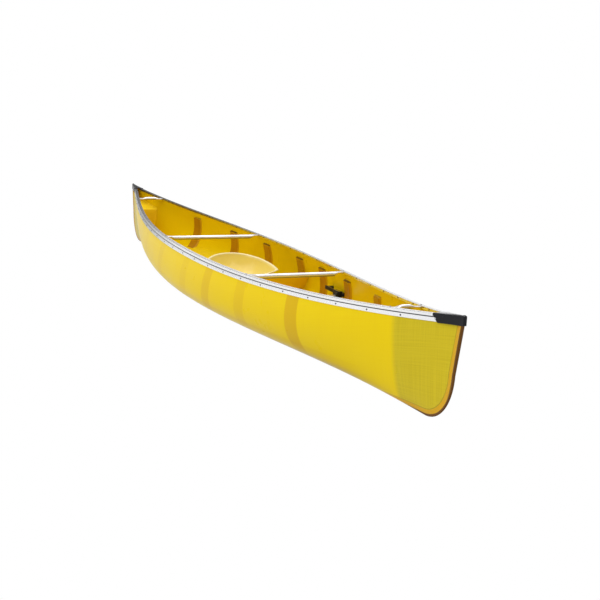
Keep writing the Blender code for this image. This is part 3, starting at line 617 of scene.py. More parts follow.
def laminate(name, shade, deep, outside=False):
    """Golden aramid cloth under clear resin."""
    finish = Finish(name, shade, 0.30, specular=0.05, coat=(0.025, 0.10))
    along, across, away = finish.parts(finish.field("cloth"))
    weave = weave_of(along, across)
    tows = tows_of(finish, along, across)
    cloud = finish.noise(finish.place(), 2.6, 4.0)
    colour = finish.mixed(shade, deep, (cloud - 0.35) * 1.1)
    colour = finish.mixed(colour, deep, (tows - 0.42).math("MULTIPLY", 1.6, clamp=True))
    if outside:
        colour = outside_marks(finish, colour, tows, away)
    dirt = finish.noise(finish.place(), 9.0, 5.0, 0.6)
    bump = finish.raised(weave, 0.00006, 0.6)
    return finish.set(Base_Color=colour, Roughness=dirt * 0.16 + 0.22, Normal=bump)


def core_skin():
    """The same cloth over foam: browner, with a painted highlight on the sloping side edges and darker
    on the sloping top.
    """
    finish = Finish("aramid_over_foam", (0.52, 0.27, 0.010), 0.36, specular=0.15, coat=(0.04, 0.2))
    along, across, edge = finish.parts(finish.field("cloth"))
    weave = weave_of(along, across)
    tows = tows_of(finish, along, across)
    cloud = finish.noise(finish.place(), 7.0, 4.0)
    colour = finish.mixed((0.56, 0.275, 0.004), (0.42, 0.185, 0.003), cloud)
    colour = finish.mixed(colour, (0.34, 0.14, 0.003), (tows - 0.42).math("MULTIPLY", 1.5, clamp=True))
    # Painted highlight: paler on the bands' sloping side edges
    colour = finish.mixed(colour, (0.70, 0.44, 0.008), edge.ramp(0.25, 0.75) * 0.6)
    colour = finish.mixed(colour, (0.12, 0.05, 0.006), edge.ramp(1.5, 1.9) * 0.8)
    bump = finish.raised(weave, 0.00006, 0.6)
    return finish.set(Base_Color=colour, Roughness=cloud * 0.15 + 0.28, Normal=bump)


def seat_gel():
    """Tan gel coat, paler towards the bowl's middle as a painted highlight, and paler on the rolled rim,
    partly its own cream and partly a painted highlight.
    """
    finish = Finish("seat_gel_coat", (0.74, 0.50, 0.11), 0.22, specular=0.35, coat=(0.15, 0.08))
    share, rim, _ = finish.parts(finish.field("bowl"))
    cloud = finish.noise(finish.place(), 11.0, 5.0, 0.55)
    ripple = finish.noise(finish.place(), 55.0, 2.0)
    colour = finish.mixed((0.80, 0.60, 0.090), (0.70, 0.49, 0.055), cloud)
    # Painted highlight: paler towards the middle of the bowl
    colour = finish.mixed(colour, (0.90, 0.74, 0.24), share.ramp(0.55, 0.05) * 0.55)
    # Paler on the rolled rim: partly the rim's own cream colour, partly a painted highlight
    colour = finish.mixed(colour, (0.96, 0.87, 0.50), rim * 0.9)
    bump = finish.raised(ripple, 0.0004, 0.35)
    return finish.set(Base_Color=colour, Roughness=cloud * 0.16 + 0.14, Normal=bump)


def aluminium(name, colour, roughness, across_axis, aft=0.0, under=0.0):
    """Drawn metal: fine lines along the piece, clouding, painted shade darkening it aft and painted
    shade underneath.
    """
    finish = Finish(name, colour, roughness, 0.85)
    lines = finish.noise(finish.stretched(finish.place(), across_axis), 1.0, 3.0)
    cloud = finish.noise(finish.place(), 6.0, 4.0)
    dull = tuple(value * 0.86 for value in colour)
    shade = finish.mixed(colour, dull, cloud * 0.6 + lines * 0.4)
    # Painted shade: the metal darkens towards the stern
    if aft:
        x, _, _ = finish.parts(finish.place())
        shade = finish.mixed(shade, (0.15, 0.15, 0.16), x.ramp(0.2, -1.3) * aft)
    # Painted shade: faces turned down are darkened
    if under:
        _, _, up = finish.parts(finish.node("ShaderNodeNewGeometry", output="Normal"))
        shade = finish.mixed(shade, (0.05, 0.045, 0.04), up.ramp(-0.15, -0.65) * under)
    wear = lines * 0.16 + cloud * 0.10 + (roughness - 0.13)
    return finish.set(Base_Color=shade, Roughness=wear, Normal=finish.raised(lines, 0.00008, 0.5))


def black_plastic(name, colour, roughness, grain):
    """Moulded nylon with a fine grain and pale scuffs, glossy where it faces up."""
    finish = Finish(name, colour, roughness, specular=0.12, coat=(0.0, 0.10))
    _, _, facing_up = finish.parts(finish.node("ShaderNodeNewGeometry", output="Normal"))
    pits = finish.node("ShaderNodeTexVoronoi", {}, {"Vector": finish.place(), "Scale": grain})
    cloud = finish.noise(finish.place(), 24.0, 5.0, 0.6)
    scuff = finish.noise(finish.stretched(finish.place(), (60.0, 9.0, 60.0)), 1.0, 4.0)
    worn = scuff.ramp(0.62, 0.74)
    pale = tuple(value * 2.4 + 0.02 for value in colour)
    shade = finish.mixed(colour, pale, worn * 0.5 + cloud * 0.15)
    return finish.set(
        Base_Color=shade,
        Roughness=cloud * 0.18 + worn * 0.12 + (roughness - 0.09),
        Coat_Weight=facing_up.ramp(0.45, 0.92),
        Coat_IOR=1.9,
        Normal=finish.raised(pits, 0.00015, 0.5),
    )


def steel():
    """Stainless with soft smears."""
    finish = Finish("stainless_fasteners", (0.46, 0.46, 0.48), 0.3, 1.0)
    smear = finish.noise(finish.place(), 320.0, 3.0)
    cloud = finish.noise(finish.place(), 40.0, 3.0)
    shade = finish.mixed((0.52, 0.52, 0.54), (0.30, 0.30, 0.31), smear * 0.5 + cloud * 0.4)
    return finish.set(Base_Color=shade, Roughness=smear * 0.2 + 0.2)


def rivet_metal(name, colour):
    finish = Finish(name, colour, 0.42, 0.3, specular=0.2)
    grime = finish.noise(finish.place(), 500.0, 3.0)
    dark = tuple(value * 0.45 for value in colour)
    return finish.set(Base_Color=finish.mixed(colour, dark, grime), Roughness=grime * 0.25 + 0.3)


OUTSIDE = laminate("aramid_laminate_outside", (0.92, 0.67, 0.002), (0.88, 0.60, 0.002), outside=True)
INSIDE = laminate("aramid_laminate_inside", (0.86, 0.64, 0.002), (0.78, 0.53, 0.002))
CORE = core_skin()
MOULDING = laminate("aramid_moulding", (0.90, 0.63, 0.012), (0.78, 0.50, 0.008))
# Painted light: a brighter copy of the moulding laminate, lifting the tanks out of the shade they sit in
TANK_PAINTED_LIGHT = laminate("aramid_tank_painted_light", (0.99, 0.72, 0.020), (0.94, 0.63, 0.012))
SEAT = seat_gel()
# The rails carry painted shade that darkens them aft
RAIL_METAL = aluminium("gunwale_anodising", (0.95, 0.955, 0.965), 0.27, (3.0, 900.0, 900.0), aft=0.85)
# The tubes carry painted shade on their undersides
TUBE_METAL = aluminium("drawn_tube", (0.93, 0.93, 0.94), 0.32, (900.0, 3.0, 900.0), under=0.8)
ANGLE_METAL = aluminium("mill_finish_angle", (0.74, 0.75, 0.77), 0.40, (3.0, 900.0, 900.0))
# Near-black in the gunwale's groove: dirt there, with painted shade for the recess
GROOVE_DIRT_AND_SHADE = aluminium("gunwale_groove_dirt_and_shade", (0.085, 0.085, 0.09), 0.50, (3.0, 900.0, 900.0))
CAP_BLACK = black_plastic("cap_black", (0.010, 0.010, 0.012), 0.30, 900.0)
NYLON = black_plastic("black_nylon", (0.018, 0.018, 0.021), 0.40, 1300.0)
STEEL = steel()
RIVET = rivet_metal("rivet_metal", (0.030, 0.031, 0.036))
# Near-black mandrel: partly the mandrel's own dark steel, partly painted shade for the rivet's hollow
# centre
MANDREL_AND_HOLE_SHADE = rivet_metal("mandrel_metal_and_hole_shade", (0.012, 0.012, 0.014))


def finished(piece, body, nodes=(), materials=()):
    """Gives a piece its materials, the CAD nodes it replaces and its body."""
    for material in materials:
        piece.data.materials.append(material)
    if nodes:
        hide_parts(*nodes)
    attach(piece, body)
    return piece


# Hull shell, floor panel, bands and tanks


def hull():
    rings = []
    for outer, inner in zip(station_ends(0.0), station_ends(HULL_WALL)):
        rings.append(both_sides(station_rows(*outer, 0.0), station_rows(*inner, HULL_WALL)))
    shell = lofted("hull_skin", rings, 50, False, second_from=2 * (ROUND_ROWS + SIDE_ROWS) + 1)
    keel_line = np.array([(x, 0.0, z) for (x, z), _ in station_ends(0.0)])
    lay_field(shell, "cloth", lambda x, y, z: (x, np.abs(y) + z, nearest(x, y, z, keel_line)))
    finished(shell, "hull", ["hull_shell"], [OUTSIDE, INSIDE])


def core_edge(x):
    share = limited((abs(x) - (CORE_REACH - CORE_TAPER)) / CORE_TAPER)
    return blend(*CORE_EDGE, share)


def floor_panel():
    """The cored floor: its upper skin slopes down to the hull along both edges."""
    rings = []
    count = 90
    rows = 26
    for i in range(count + 1):
        x = blend(-CORE_REACH, CORE_REACH, i / count)
        near_end = eased((CORE_REACH - abs(x)) / 0.03)
        thickness = CORE_THICKNESS * blend(0.15, 1.0, near_end)
        upper = []
        lower = []
        for j in range(rows + 1):
            share = j / rows
            aside = share**CORE_SPREAD
            lift = thickness * (1 - eased((share - 0.90) / 0.10)) + 0.0004
            z = blend(keel(x, HULL_WALL), core_edge(x), aside)
            y = half_breadth(x, z, HULL_WALL) if j else 0.0
            upper.append((x, max(y - lift * aside, 0.0), z + lift))
            lower.append((x, y, z - 0.0006))
        rings.append(both_sides(upper, lower))
    panel = lofted("floor_panel", rings, 40)
    lay_field(panel, "cloth", lambda x, y, z: (x, np.abs(y) + z, x * 0 + 1))
    finished(panel, "hull", ["floor_core"], [INSIDE])


def band(number, label, side):
    """A cored band up the side, with sloping edges and a sloping top."""
    middle = BANDS[number - 1]
    half = BAND_WIDTH / 2
    columns = [blend(-half, half, k / 18) for k in range(19)]
    rows = 30
    rings = []
    for j in range(rows + 1):
        front = []
        back = []
        for offset in columns:
            x = middle + offset
            top = sheer(x) - BAND_DROP
            z = blend(core_edge(x) - 0.012, top, j / rows)
            slope = eased((half - abs(offset)) / BAND_BEVEL) * eased((top - z) / BAND_END_SLOPE)
            proud = BAND_PROUD * slope + 0.0003
            front.append((x, side * half_breadth(x, z, HULL_WALL + proud), z))
            back.append((x, side * half_breadth(x, z, HULL_WALL - 0.0008), z))
        rings.append(front + back[::-1])
    piece = lofted(f"side_band_{number}_{label}", rings, 50)

    def cloth(x, y, z):
        drop = np.array([sheer(place) - BAND_DROP for place in x]) - z
        # Third value: 2 on the sloping top, which the foam material darkens; else rising to 1 at the
        # side slopes, where it paints a highlight
        return x, z, np.where(drop < BAND_END_SLOPE, 2.0, (np.abs(x - middle) / half) ** 6)

    lay_field(piece, "cloth", cloth)
    finished(piece, "hull", [f"rib_{number}_{label}"], [CORE])


def tank_path():
    """(x, z, normal x, normal z) up the bulkhead, over its rounded edge and up the lid."""
    path = []
    foot = keel(TANK_BULKHEAD, HULL_WALL) + 0.002
    rise = math.atan2(TANK_LID_RISE, TANK_LID_LENGTH)
    turn_z = TANK_TOP - TANK_ROUND
    for k in range(13):
        path.append((TANK_BULKHEAD, blend(foot, turn_z, (k / 12) ** 1.3), -1.0, 0.0))
    for k in range(1, 8):
        angle = (math.pi / 2 - rise) * k / 7
        x = TANK_BULKHEAD + TANK_ROUND * (1 - math.cos(angle))
        path.append((x, turn_z + TANK_ROUND * math.sin(angle), -math.cos(angle), math.sin(angle)))
    start_x, start_z, out_x, out_z = path[-1]
    for k in range(1, 13):
        share = k / 12
        x = blend(start_x, TANK_BULKHEAD + TANK_LID_LENGTH, share)
        path.append((x, start_z + (x - start_x) * math.tan(rise), out_x, out_z))
    return path


def float_tank(label, end):
    """The closure of an end, filleted into the hull all round."""
    rings = []
    across = [signed_power(blend(-1, 1, k / 28), 0.6) for k in range(29)]
    for x, z, out_x, out_z in tank_path():
        width = half_breadth(end * x, z, HULL_WALL) + TANK_BITE
        front = []
        back = []
        for share in across:
            room = width * (1 - abs(share))
            near = limited(1 - room / TANK_FILLET)
            lift = TANK_FILLET * (1 - math.sqrt(1 - near**2)) * limited((z - 0.03) / 0.03)
            px, pz = x + out_x * lift, z + out_z * lift
            limit = half_breadth(end * px, pz, HULL_WALL) + TANK_BITE
            front.append((end * px, math.copysign(min(width * abs(share), limit), share), pz))
            back.append((end * (x - out_x * TANK_WALL), width * share * 0.98, z - out_z * TANK_WALL))
        rings.append(front + back[::-1])
    tank = lofted(f"float_tank_{label}_moulding", rings, 45)
    lay_field(tank, "cloth", lambda x, y, z: (y, z + np.abs(x), x))
    # The tank takes the brighter, painted-light copy of the moulding laminate
    finished(tank, "hull", [f"float_tank_{label}"], [TANK_PAINTED_LIGHT])


# Gunwales


def arc(middle, radius, start, end, steps):
    """Points of an arc about the middle, angles in degrees."""
    found = []
    for k in range(steps + 1):
        angle = math.radians(blend(start, end, k / steps))
        found.append((middle[0] + radius * math.cos(angle), middle[1] + radius * math.sin(angle)))
    return found


def rail_outline():
    """The section, from the bottom of the outer leg up over the top and down the inner leg."""
    bead = OUTER_FACE - RAIL_BEAD
    floor = OUTER_FACE + GROOVE_DEPTH
    low = -BEAD_DEPTH - GROOVE_WIDTH
    r = 0.0012
    outline = arc((OUTER_FACE + 0.0008, -RAIL_OUTER_DEPTH + 0.0008), 0.0008, 270, 180, 3)
    outline += [(OUTER_FACE, low), (floor, low + 0.0002), (floor, -BEAD_DEPTH - 0.0002)]
    outline += arc((bead + r, -BEAD_DEPTH + r), r, 250, 180, 3)
    outline += arc((bead + 0.0028, RAIL_TOP - 0.0028), 0.0028, 180, 90, 6)
    outline += arc((LIP_EDGE - 0.0013, RAIL_TOP - 0.0013), 0.0013, 90, 0, 4)
    outline += [(LIP_EDGE, 0.0006), (LIP_EDGE - 0.0004, 0.0004), (LIP_ROOT + 0.0008, 0.0004)]
    outline += [(LIP_ROOT, -0.0004)]
    outline += arc((LIP_ROOT - 0.0008, -RAIL_INNER_DEPTH + 0.0008), 0.0008, 0, -90, 3)
    outline += [(INNER_FACE, -RAIL_INNER_DEPTH), (INNER_FACE, 0.0004), (-RAIL_GAP, 0.0004)]
    outline += [(-RAIL_GAP, -RAIL_OUTER_DEPTH)]
    return outline


def on_rail(x, side, inboard, up):
    lean = flare_at(x) * max(0.0, -up)
    return Vector((x, side * (plan(x) - inboard + lean), sheer(x) + up))


def gunwale(label, side):
    rings = []
    count = 150
    for k in range(count + 1):
        x = blend(-RAIL_END, RAIL_END, k / count)
        rings.append([on_rail(x, side, inboard, up) for inboard, up in rail_outline()])
    rail = lofted(f"gunwale_{label}_rail", rings, 28)
    groove = -BEAD_DEPTH - GROOVE_WIDTH / 2
    for polygon in rail.data.polygons:
        x, y, z = polygon.center
        lean = flare_at(x) * max(0.0, sheer(x) - z)
        inboard = plan(x) + lean - abs(y)
        # Faces in the groove take the near-black groove material: dirt with painted shade
        in_groove = abs(z - sheer(x) - groove) < GROOVE_WIDTH / 2 + 0.0003
        polygon.material_index = 1 if in_groove and inboard < -RAIL_GAP - 0.0009 else 0
    finished(rail, "hull", [f"gunwale_{label}"], [RAIL_METAL, GROOVE_DIRT_AND_SHADE])


def rivet_tree():
    """Instances a domed rivet on each point, turned to the point's "outward" field."""
    tree = bpy.data.node_groups.new("rivet_row", "GeometryNodeTree")
    face = tree.interface
    face.new_socket("Geometry", in_out="INPUT", socket_type="NodeSocketGeometry")
    for name in ("Radius", "Rise", "Mandrel Radius"):
        face.new_socket(name, in_out="INPUT", socket_type="NodeSocketFloat")
    for name in ("Head Finish", "Mandrel Finish"):
        face.new_socket(name, in_out="INPUT", socket_type="NodeSocketMaterial")
    face.new_socket("Geometry", in_out="OUTPUT", socket_type="NodeSocketGeometry")

    def node(kind, values=None, **settings):
        return add_node(tree, kind, settings, values).outputs[0]

    given = add_node(tree, "NodeGroupInput").outputs
    ball = node("GeometryNodeMeshUVSphere", {"Segments": 16, "Rings": 10, "Radius": 1.0})
    join = add_node(tree, "GeometryNodeJoinGeometry")
    for part, lift in (("", 0.0), ("Mandrel ", 0.35)):
        radius = given[f"{part}Radius"]
        finish = given[f"{part or 'Head '}Finish"]
        scale = node("ShaderNodeCombineXYZ", {0: radius, 1: radius, 2: given["Rise"]})
        up = node("ShaderNodeMath", {0: given["Rise"], 1: lift}, operation="MULTIPLY")
        spot = node("ShaderNodeCombineXYZ", {2: up})
        head = node("GeometryNodeTransform", {"Geometry": ball, "Scale": scale, "Translation": spot})
        smooth = node("GeometryNodeSetShadeSmooth", {0: head})
        shaded = node("GeometryNodeSetMaterial", {"Geometry": smooth, "Material": finish})
        tree.links.new(shaded, join.inputs[0])
    outward = node("GeometryNodeInputNamedAttribute", {"Name": "outward"}, data_type="FLOAT_VECTOR")
    turn = node("FunctionNodeAlignRotationToVector", {"Vector": outward}, axis="Z")
    heads = {"Points": given["Geometry"], "Instance": join.outputs[0], "Rotation": turn}
    real = node("GeometryNodeRealizeInstances", {0: node("GeometryNodeInstanceOnPoints", heads)})
    add_node(tree, "NodeGroupOutput", {}, {0: real})
    return tree


def rivets(tree, label, side):
    """Heads on the outer leg and tails on the inner leg, one pair every spacing."""
    places = []
    outward = []
    reach = CAP_START - 0.02
    first = -math.floor((reach + RIVET_START) / RIVET_SPACING)
    last = math.floor((reach - RIVET_START) / RIVET_SPACING)
    outer_up = -(BEAD_DEPTH + GROOVE_WIDTH + RAIL_OUTER_DEPTH) / 2
    inner_up = -RAIL_INNER_DEPTH / 2
    for k in range(first, last + 1):
        x = RIVET_START + RIVET_SPACING * k
        spread, _ = slopes_at(x)
        lean = flare_at(x)
        places.append(on_rail(x, side, OUTER_FACE, outer_up))
        outward.append(Vector((-spread, side, lean)).normalized())
        places.append(on_rail(x, side, LIP_ROOT, inner_up))
        outward.append(Vector((spread, -side, -lean)).normalized())
    bm = bmesh.new()
    for place in places:
        bm.verts.new(place)
    row = piece_from(f"gunwale_rivets_{label}", bm)
    set_field(row, "outward", outward)
    modifier = row.modifiers.new("rivets", "NODES")
    modifier.node_group = tree
    given = {"Radius": RIVET_RADIUS, "Rise": RIVET_RISE, "Mandrel Radius": RIVET_RADIUS * 0.45}
    given |= {"Head Finish": RIVET, "Mandrel Finish": MANDREL_AND_HOLE_SHADE}
    for item in tree.interface.items_tree:
        if item.name in given:
            modifier[item.identifier] = given[item.name]
    applied(row)
    finished(row, "hull")


# Thwarts and carrying handles


def crossbar(node, diameter, arch):
    x = middle_of(node).x
    edge = plan(x)
    plan_slope, rise_slope = slopes_at(x)
    flat_end = TONGUE_START + TONGUE_LENGTH
    round_start = flat_end + TONGUE_BLEND
    count = 16
    near = [TONGUE_START + along for along in (0, 0.0008, 0.0096)]
    near += [blend(flat_end, round_start, k / count) for k in range(count)]
    places = [edge - d for d in near]
    span = edge - round_start
    places += [blend(span, -span, k / 24) for k in range(25)]
    places += [-y for y in places[: len(near)][::-1]]
    sides = 40
    rings = []
    for y in places:
        from_edge = edge - abs(y)
        roundness = eased((from_edge - flat_end) / TONGUE_BLEND)
        tip_round = eased((from_edge - LIP_ROOT) / 0.0012)
        half_width = blend(TONGUE_WIDTH, diameter, roundness) / 2 * blend(0.96, 1, tip_round)
        half_height = blend(TONGUE_THICKNESS, diameter, roundness) / 2
        power = 2 / blend(5.0, 2, roundness)
        lift = arch * (1 - (y / edge) ** 2) * roundness
        ring = []
        for k in range(sides):
            angle = 2 * math.pi * (k + 0.5) / sides
            across = signed_power(math.cos(angle), power) * half_width
            up = signed_power(math.sin(angle), power) * half_height * blend(0.75, 1, tip_round)
            skew = plan_slope * across * (1 - roundness) * math.copysign(1, y)
            z = sheer(x) - 0.0004 + lift - half_height + up + rise_slope * across
            ring.append((x + across, y + skew, z))
        rings.append(ring)
    bar = lofted(f"{node}_tube", rings, 60)
    finished(bar, "hull", [node], [TUBE_METAL])


def ring_of(reach, height, sides=SCREW_SIDES):
    """A ring about Z. Its reach is a radius, or a function of the angle."""
    found = []
    for k in range(sides):
        angle = 2 * math.pi * k / sides
        radius = reach(angle) if callable(reach) else reach
        found.append((radius * math.cos(angle), radius * math.sin(angle), height))
    return found


def hexagon(across_flats, height):
    def reach(angle):
        return across_flats / 2 / math.cos((angle + math.pi / 6) % (math.pi / 3) - math.pi / 6)

    return ring_of(reach, height)


def turned(profile):
    return [ring_of(radius, height) for radius, height in profile]


def screw_rings(profile, socket):
    """A turned head with a hexagonal socket sunk into its top."""
    flats, depth = socket
    top = profile[0][1]
    rings = turned([(0.0001, top - depth)])
    return rings + [hexagon(flats, top - depth), hexagon(flats, top)] + turned(profile)


def bolt(node):
    """A button-head screw through the lip with a hexagon nut under the tongue."""
    middle = middle_of(node)
    side = math.copysign(1, middle.y)
    rings = screw_rings(BOLT_PROFILE, BOLT_SOCKET)
    rings += [hexagon(NUT_FLATS, height) for height in NUT_HEIGHTS] + turned(BOLT_TAIL)
    piece = lofted(f"{node}_screw", rings, 30)
    lean = Matrix.Rotation(-math.atan(slopes_at(middle.x)[1]), 4, "Y")
    spot = on_rail(middle.x, side, (LIP_ROOT + LIP_EDGE) / 2, 0.0)
    placed(piece, Matrix.Translation(spot) @ lean)
    finished(piece, "hull", [node], [STEEL])


# Deck caps


def cap_half(x, end):
    spread = max(0.0, flare_at(end * min(x, LENGTH / 2 - 0.004))) * CAP_FLANGE
    return plan(end * x) - OUTER_FACE + RAIL_BEAD + 0.0004 + spread


def cap_arch(half, top, foot, crown):
    """Points of the inverted U from the port foot over to the starboard foot."""
    r = min(CAP_ROUND, half * 0.7)
    port = [(half, blend(foot, top - r, k / 8)) for k in range(9)]
    port += arc((half - r, top - r), r, 0, 90, 6)[1:]
    for k in range(1, 8):
        y = blend(half - r, 0.0, k / 8)
        port.append((y, top + crown * (1 - (y / max(half - r, 1e-6)) ** 2)))
    return port + [(0.0, top + crown)] + [(-y, z) for y, z in port[::-1]]


def deck_cap(label, end):
    """An open-bottomed cap with a curved flange, a crowned deck and a rounded nose."""
    rings = []
    stem = LENGTH / 2
    for k in range(41):
        share = k / 40
        x = blend(CAP_START, stem, share**1.15)
        s = (x - CAP_START) / CAP_LENGTH
        height = sheer(end * x)
        flange = CAP_FLANGE * blend(0.20, 1.0, eased((s - 0.015) / 0.17))
        flange -= 0.0012 * math.sin(math.pi * s)
        top = height + RAIL_TOP + 0.0004 + CAP_WALL
        crown = CAP_CROWN * blend(0.25, 1.0, eased(s / 0.10))
        crown *= blend(1.0, 0.35, eased((s - 0.75) / 0.2))
        crown += CAP_LIP * eased((s - 0.90) / 0.06)
        dent = CAP_DENT * (1 - eased(s / 0.06))
        half = cap_half(x, end) + CAP_WALL
        outer = cap_arch(half, top, height - flange, crown)
        inner = cap_arch(half - CAP_WALL, top - CAP_WALL, height - flange, max(crown - 0.001, 0.0))
        skew = []
        for y, z in outer:
            on_deck = z >= top - 0.001
            skew.append(dent * (1 - min(1.0, abs(y) / half) ** 2) if on_deck else 0.0)
        ring = [(end * (x + d), y, z) for (y, z), d in zip(outer, skew)]
        ring += [(end * (x + d), y, z) for (y, z), d in zip(inner[::-1], skew[::-1])]
        rings.append(ring)
    low = height - flange
    count = len(outer)
    floor_line = [blend(half, -half, k / (count - 1)) for k in range(count)]
    for k in range(11):
        angle = math.pi / 2 * k / 10
        x = stem + CAP_NOSE * math.sin(angle)
        narrow = blend(0.30, 1.0, math.cos(angle) ** 0.75)
        drop = CAP_NOSE_DROP * (1 - math.cos(angle))
        rise = CAP_NOSE_RISE * (1 - math.cos(angle))
        ring = []
        for y, z in outer:
            up = limited((z - low) / (top - low))
            ring.append((end * x, y * narrow, z - drop * up**3 + rise * (1 - up) ** 3))
        ring += [(end * x, -y * narrow, low + rise) for y in floor_line]
        rings.append(ring)
    cap = lofted(f"deck_cap_{label}_moulding", rings, 42)
    finished(cap, "hull", [f"deck_cap_{label}"], [CAP_BLACK])


def cap_screw(label, end, side_label, side):
    node = f"cap_screw_{label}_{side_label}"
    x = CAP_START + CAP_SCREW_BACK
    face = cap_half(x, end) + CAP_WALL
    piece = lofted(f"{node}_head", screw_rings(CAP_SCREW_PROFILE, CAP_SCREW_SOCKET), 30)
    turn = Matrix.Rotation(side * math.atan(slopes_at(end * x)[0]), 4, "Z")
    turn = turn @ Matrix.Rotation(-side * math.pi / 2, 4, "X")
    spot = Vector((end * x, side * (face + 0.0004), middle_of(node).z))
    placed(piece, Matrix.Translation(spot) @ turn)
    finished(piece, "hull", [node], [STEEL])


# Seat


def seat_edge(turn):
    """The rim at a turn from 0 (port corner) round the back to 1, then along the front to 2."""
    if turn <= 1:
        across = math.cos(math.pi * turn)
        aft = math.sin(math.pi * turn)
        x = SEAT_CORNER_X - SEAT_DEPTH * aft
        z = blend(SEAT_FRONT_HEIGHT, SEAT_BACK_HEIGHT, aft)
    else:
        across = 2 * turn - 3
        ahead = 1 - across**2
        x = SEAT_CORNER_X + SEAT_NOSE * ahead
        z = SEAT_FRONT_HEIGHT - SEAT_LIP_DROP * ahead
    return Vector((x, SEAT_HALF_WIDTH * across, z))


def seat_skin(share, turn, below=0.0):
    edge = seat_edge(turn)
    x = blend(SEAT_MIDDLE, edge.x, share)
    return Vector((x, edge.y * share, blend(SEAT_FLOOR, edge.z, share**SEAT_DISH) - below))


def seat_bowl():
    turns = [k / 72 for k in range(73)] + [1 + k / 30 for k in range(1, 30)]
    shares = [0.02] + [k / 24 for k in range(1, 24)]
    rings = [[seat_skin(share, turn) for turn in turns] for share in shares]
    for k in range(13):
        angle = math.radians(blend(-70, 165, k / 12))
        up = Vector((0, 0, SEAT_ROLL * (math.cos(angle) - 1)))
        ring = []
        for turn in turns:
            edge = seat_edge(turn)
            out = Vector((edge.x - SEAT_MIDDLE, edge.y, 0)).normalized()
            ring.append(edge + out * SEAT_ROLL * math.sin(angle) + up)
        rings.append(ring)
    rings += [[seat_skin(share, turn, SEAT_WALL) for turn in turns] for share in shares[::-1]]
    bowl = lofted("seat_bowl", rings, 60)
    rim = np.array([tuple(seat_edge(k / 200)) for k in range(401)])

    def share_and_rim(x, y, z):
        away = nearest(x, y, z, rim)
        share = np.hypot((x - SEAT_MIDDLE) / 0.15, y / SEAT_HALF_WIDTH)
        return share, np.clip((0.0125 - away) / 0.004, 0, 1), away

    lay_field(bowl, "bowl", share_and_rim)
    finished(bowl, "seat", ["seat_bucket"], [SEAT])


def lobed_knob(node, matrix, low, high):
    """A lobed hand knob about Z, and its stud. Each knob is its own body."""
    sides = 80
    rings = []
    for radius, height, depth in KNOB_PROFILE:

        def reach(angle):
            return radius * (1 - depth * (1 - math.cos(KNOB_LOBES * angle)))

        rings.append(ring_of(reach, low + height, sides))
    rings.append(ring_of(KNOB_STUD, low + KNOB_PROFILE[-1][1], sides))
    rings.append(ring_of(KNOB_STUD, high - 0.0006, sides))
    rings.append(ring_of(KNOB_STUD - 0.0006, high, sides))
    knob = placed(lofted(f"{node}_grip", rings, 45), matrix)
    finished(knob, node, [node], [NYLON])


def seat_and_rails():
    seat_bowl()
    for label, _ in SIDES:
        node = f"seat_saddle_{label}"
        saddle = refined(node, f"{node}_wedge", 0.0015)
        lay_field(saddle, "cloth", lambda x, y, z: (x, z, y * 0))
        finished(saddle, "seat", [node], [CORE])
        node = f"seat_rail_{label}"
        rail = refined(node, f"{node}_angle", 0.0007)
        finished(rail, "hull", [node], [ANGLE_METAL])
        node = f"seat_knob_{label}"
        low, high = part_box(node)
        matrix = Matrix.Translation(Vector((high.x - KNOB_RADIUS, middle_of(node).y, 0)))
        lobed_knob(node, matrix, low.z, high.z)
    for node in ("seat_beam", "seat_riser"):
        beam = refined(node, f"{node}_moulding", 0.003, 4)
        lay_field(beam, "cloth", lambda x, y, z: (y, z + x, x * 0 + 1))
        finished(beam, "hull", [node], [MOULDING])


# Foot brace


def foot_tube():
    low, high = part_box("foot_brace_tube")
    middle = (low + high) / 2
    outer = (high.z - low.z) / 2
    inner = outer - FOOT_TUBE_WALL
    rounding = 0.0005
    outline = [(outer - rounding, low.y), (outer, low.y + rounding)]
    outline += [(outer, blend(low.y, high.y, k / 12)) for k in range(1, 12)]
    outline += [(outer, high.y - rounding), (outer - rounding, high.y)]
    outline += [(inner, high.y), (inner, low.y), outline[0]]
    rings = []
    for radius, y in outline:
        rings.append([(middle.x + a, y, middle.z + b) for a, b, _ in ring_of(radius, 0.0, 48)])
    tube = lofted("foot_brace_bar", rings, 40, capped=False)
    finished(tube, "foot_brace", ["foot_brace_tube"], [TUBE_METAL])


def foot_brace():
    foot_tube()
    for label, side in SIDES:
        boxy = [(f"foot_rail_{label}", "hull", 0.0012), (f"foot_block_{label}", "foot_brace", 0.0016)]
        boxy += [(f"foot_bracket_{label}_{end}", "hull", 0.0012) for end in ("front", "rear")]
        for node, body, width in boxy:
            finished(refined(node, f"{node}_moulding", width), body, [node], [NYLON])
        node = f"foot_knob_{label}"
        low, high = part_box(node)
        inboard = min(abs(low.y), abs(high.y))
        spot = Vector((high.x - KNOB_RADIUS, side * inboard, middle_of(node).z))
        turn = Matrix.Rotation(-side * math.pi / 2, 4, "X")
        lobed_knob(node, Matrix.Translation(spot) @ turn, 0.0, high.y - low.y)


# Stage, light and camera


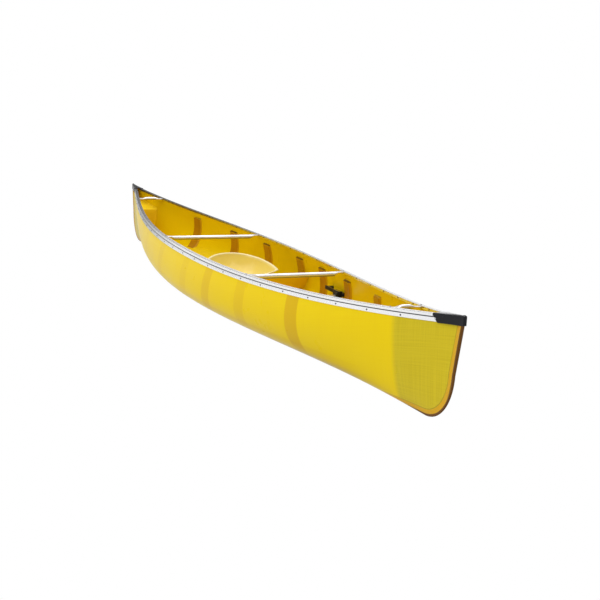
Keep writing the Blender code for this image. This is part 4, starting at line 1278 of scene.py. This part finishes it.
def studio():
    """A surround of grey steps by height, dark above the horizon for the metal rails to pick up."""
    world = bpy.data.worlds.new("studio")
    world.use_nodes = True
    tree = world.node_tree
    ahead = add_node(tree, "ShaderNodeTexCoord").outputs["Generated"]
    up = add_node(tree, "ShaderNodeSeparateXYZ", {}, {0: ahead}).outputs["Z"]
    height = add_node(tree, "ShaderNodeMath", {"operation": "MULTIPLY_ADD"}, {0: up, 1: 0.5, 2: 0.5})
    band = add_node(tree, "ShaderNodeValToRGB", {}, {0: height.outputs[0]})
    tree.links.new(band.outputs[0], tree.nodes["Background"].inputs["Color"])
    stops = band.color_ramp.elements
    stops.remove(stops[1])
    for number, (height, grey) in enumerate(SURROUND):
        stop = stops.new((height + 1) / 2) if number else stops[0]
        stop.color = (grey, grey, grey, 1.0)
    bpy.context.scene.world = world
    for name, place, size, power in LIGHTS:
        lamp = bpy.data.lights.new(name, "AREA")
        lamp.size = size
        lamp.energy = power
        light = bpy.data.objects.new(name, lamp)
        light.location = place
        light.rotation_euler = (LIGHT_AIM - Vector(place)).to_track_quat("-Z", "Y").to_euler()
        bpy.context.scene.collection.objects.link(light)


def camera():
    """Eye height beside the bow, looking aft along the boat and slightly down."""
    flat = math.cos(PITCH)
    ahead = Vector((math.cos(YAW) * flat, math.sin(YAW) * flat, -math.sin(PITCH)))
    right = Vector((math.sin(YAW), -math.cos(YAW), 0.0))
    up = right.cross(ahead)
    rolled_right = right * math.cos(ROLL) + up * math.sin(ROLL)
    rolled_up = up * math.cos(ROLL) - right * math.sin(ROLL)
    lens = bpy.data.cameras.new("camera")
    lens.lens = FOCAL_LENGTH
    lens.clip_end = 200.0
    eye = bpy.data.objects.new("camera", lens)
    turn = Matrix((rolled_right, rolled_up, -ahead)).transposed().to_4x4()
    eye.matrix_world = Matrix.Translation(EYE) @ turn
    bpy.context.scene.collection.objects.link(eye)
    bpy.context.scene.camera = eye
    bpy.context.scene.view_settings.view_transform = "Standard"


def build():
    hull()
    floor_panel()
    for label, side in SIDES:
        for number in range(1, BAND_COUNT + 1):
            band(number, label, side)
    tree = rivet_tree()
    for label, side in SIDES:
        gunwale(label, side)
        rivets(tree, label, side)
    for label, end in ENDS:
        float_tank(label, end)
        deck_cap(label, end)
        for side_label, side in SIDES:
            cap_screw(label, end, side_label, side)
    for node in ("thwart_front", "thwart_rear", "handle_bow", "handle_stern"):
        handle = node.startswith("handle")
        crossbar(node, HANDLE_DIAMETER if handle else THWART_DIAMETER, HANDLE_ARCH if handle else 0.0)
        for side_label, _ in SIDES:
            bolt(f"{node}_bolt_{side_label}")
    seat_and_rails()
    foot_brace()


camera()
studio()
build()
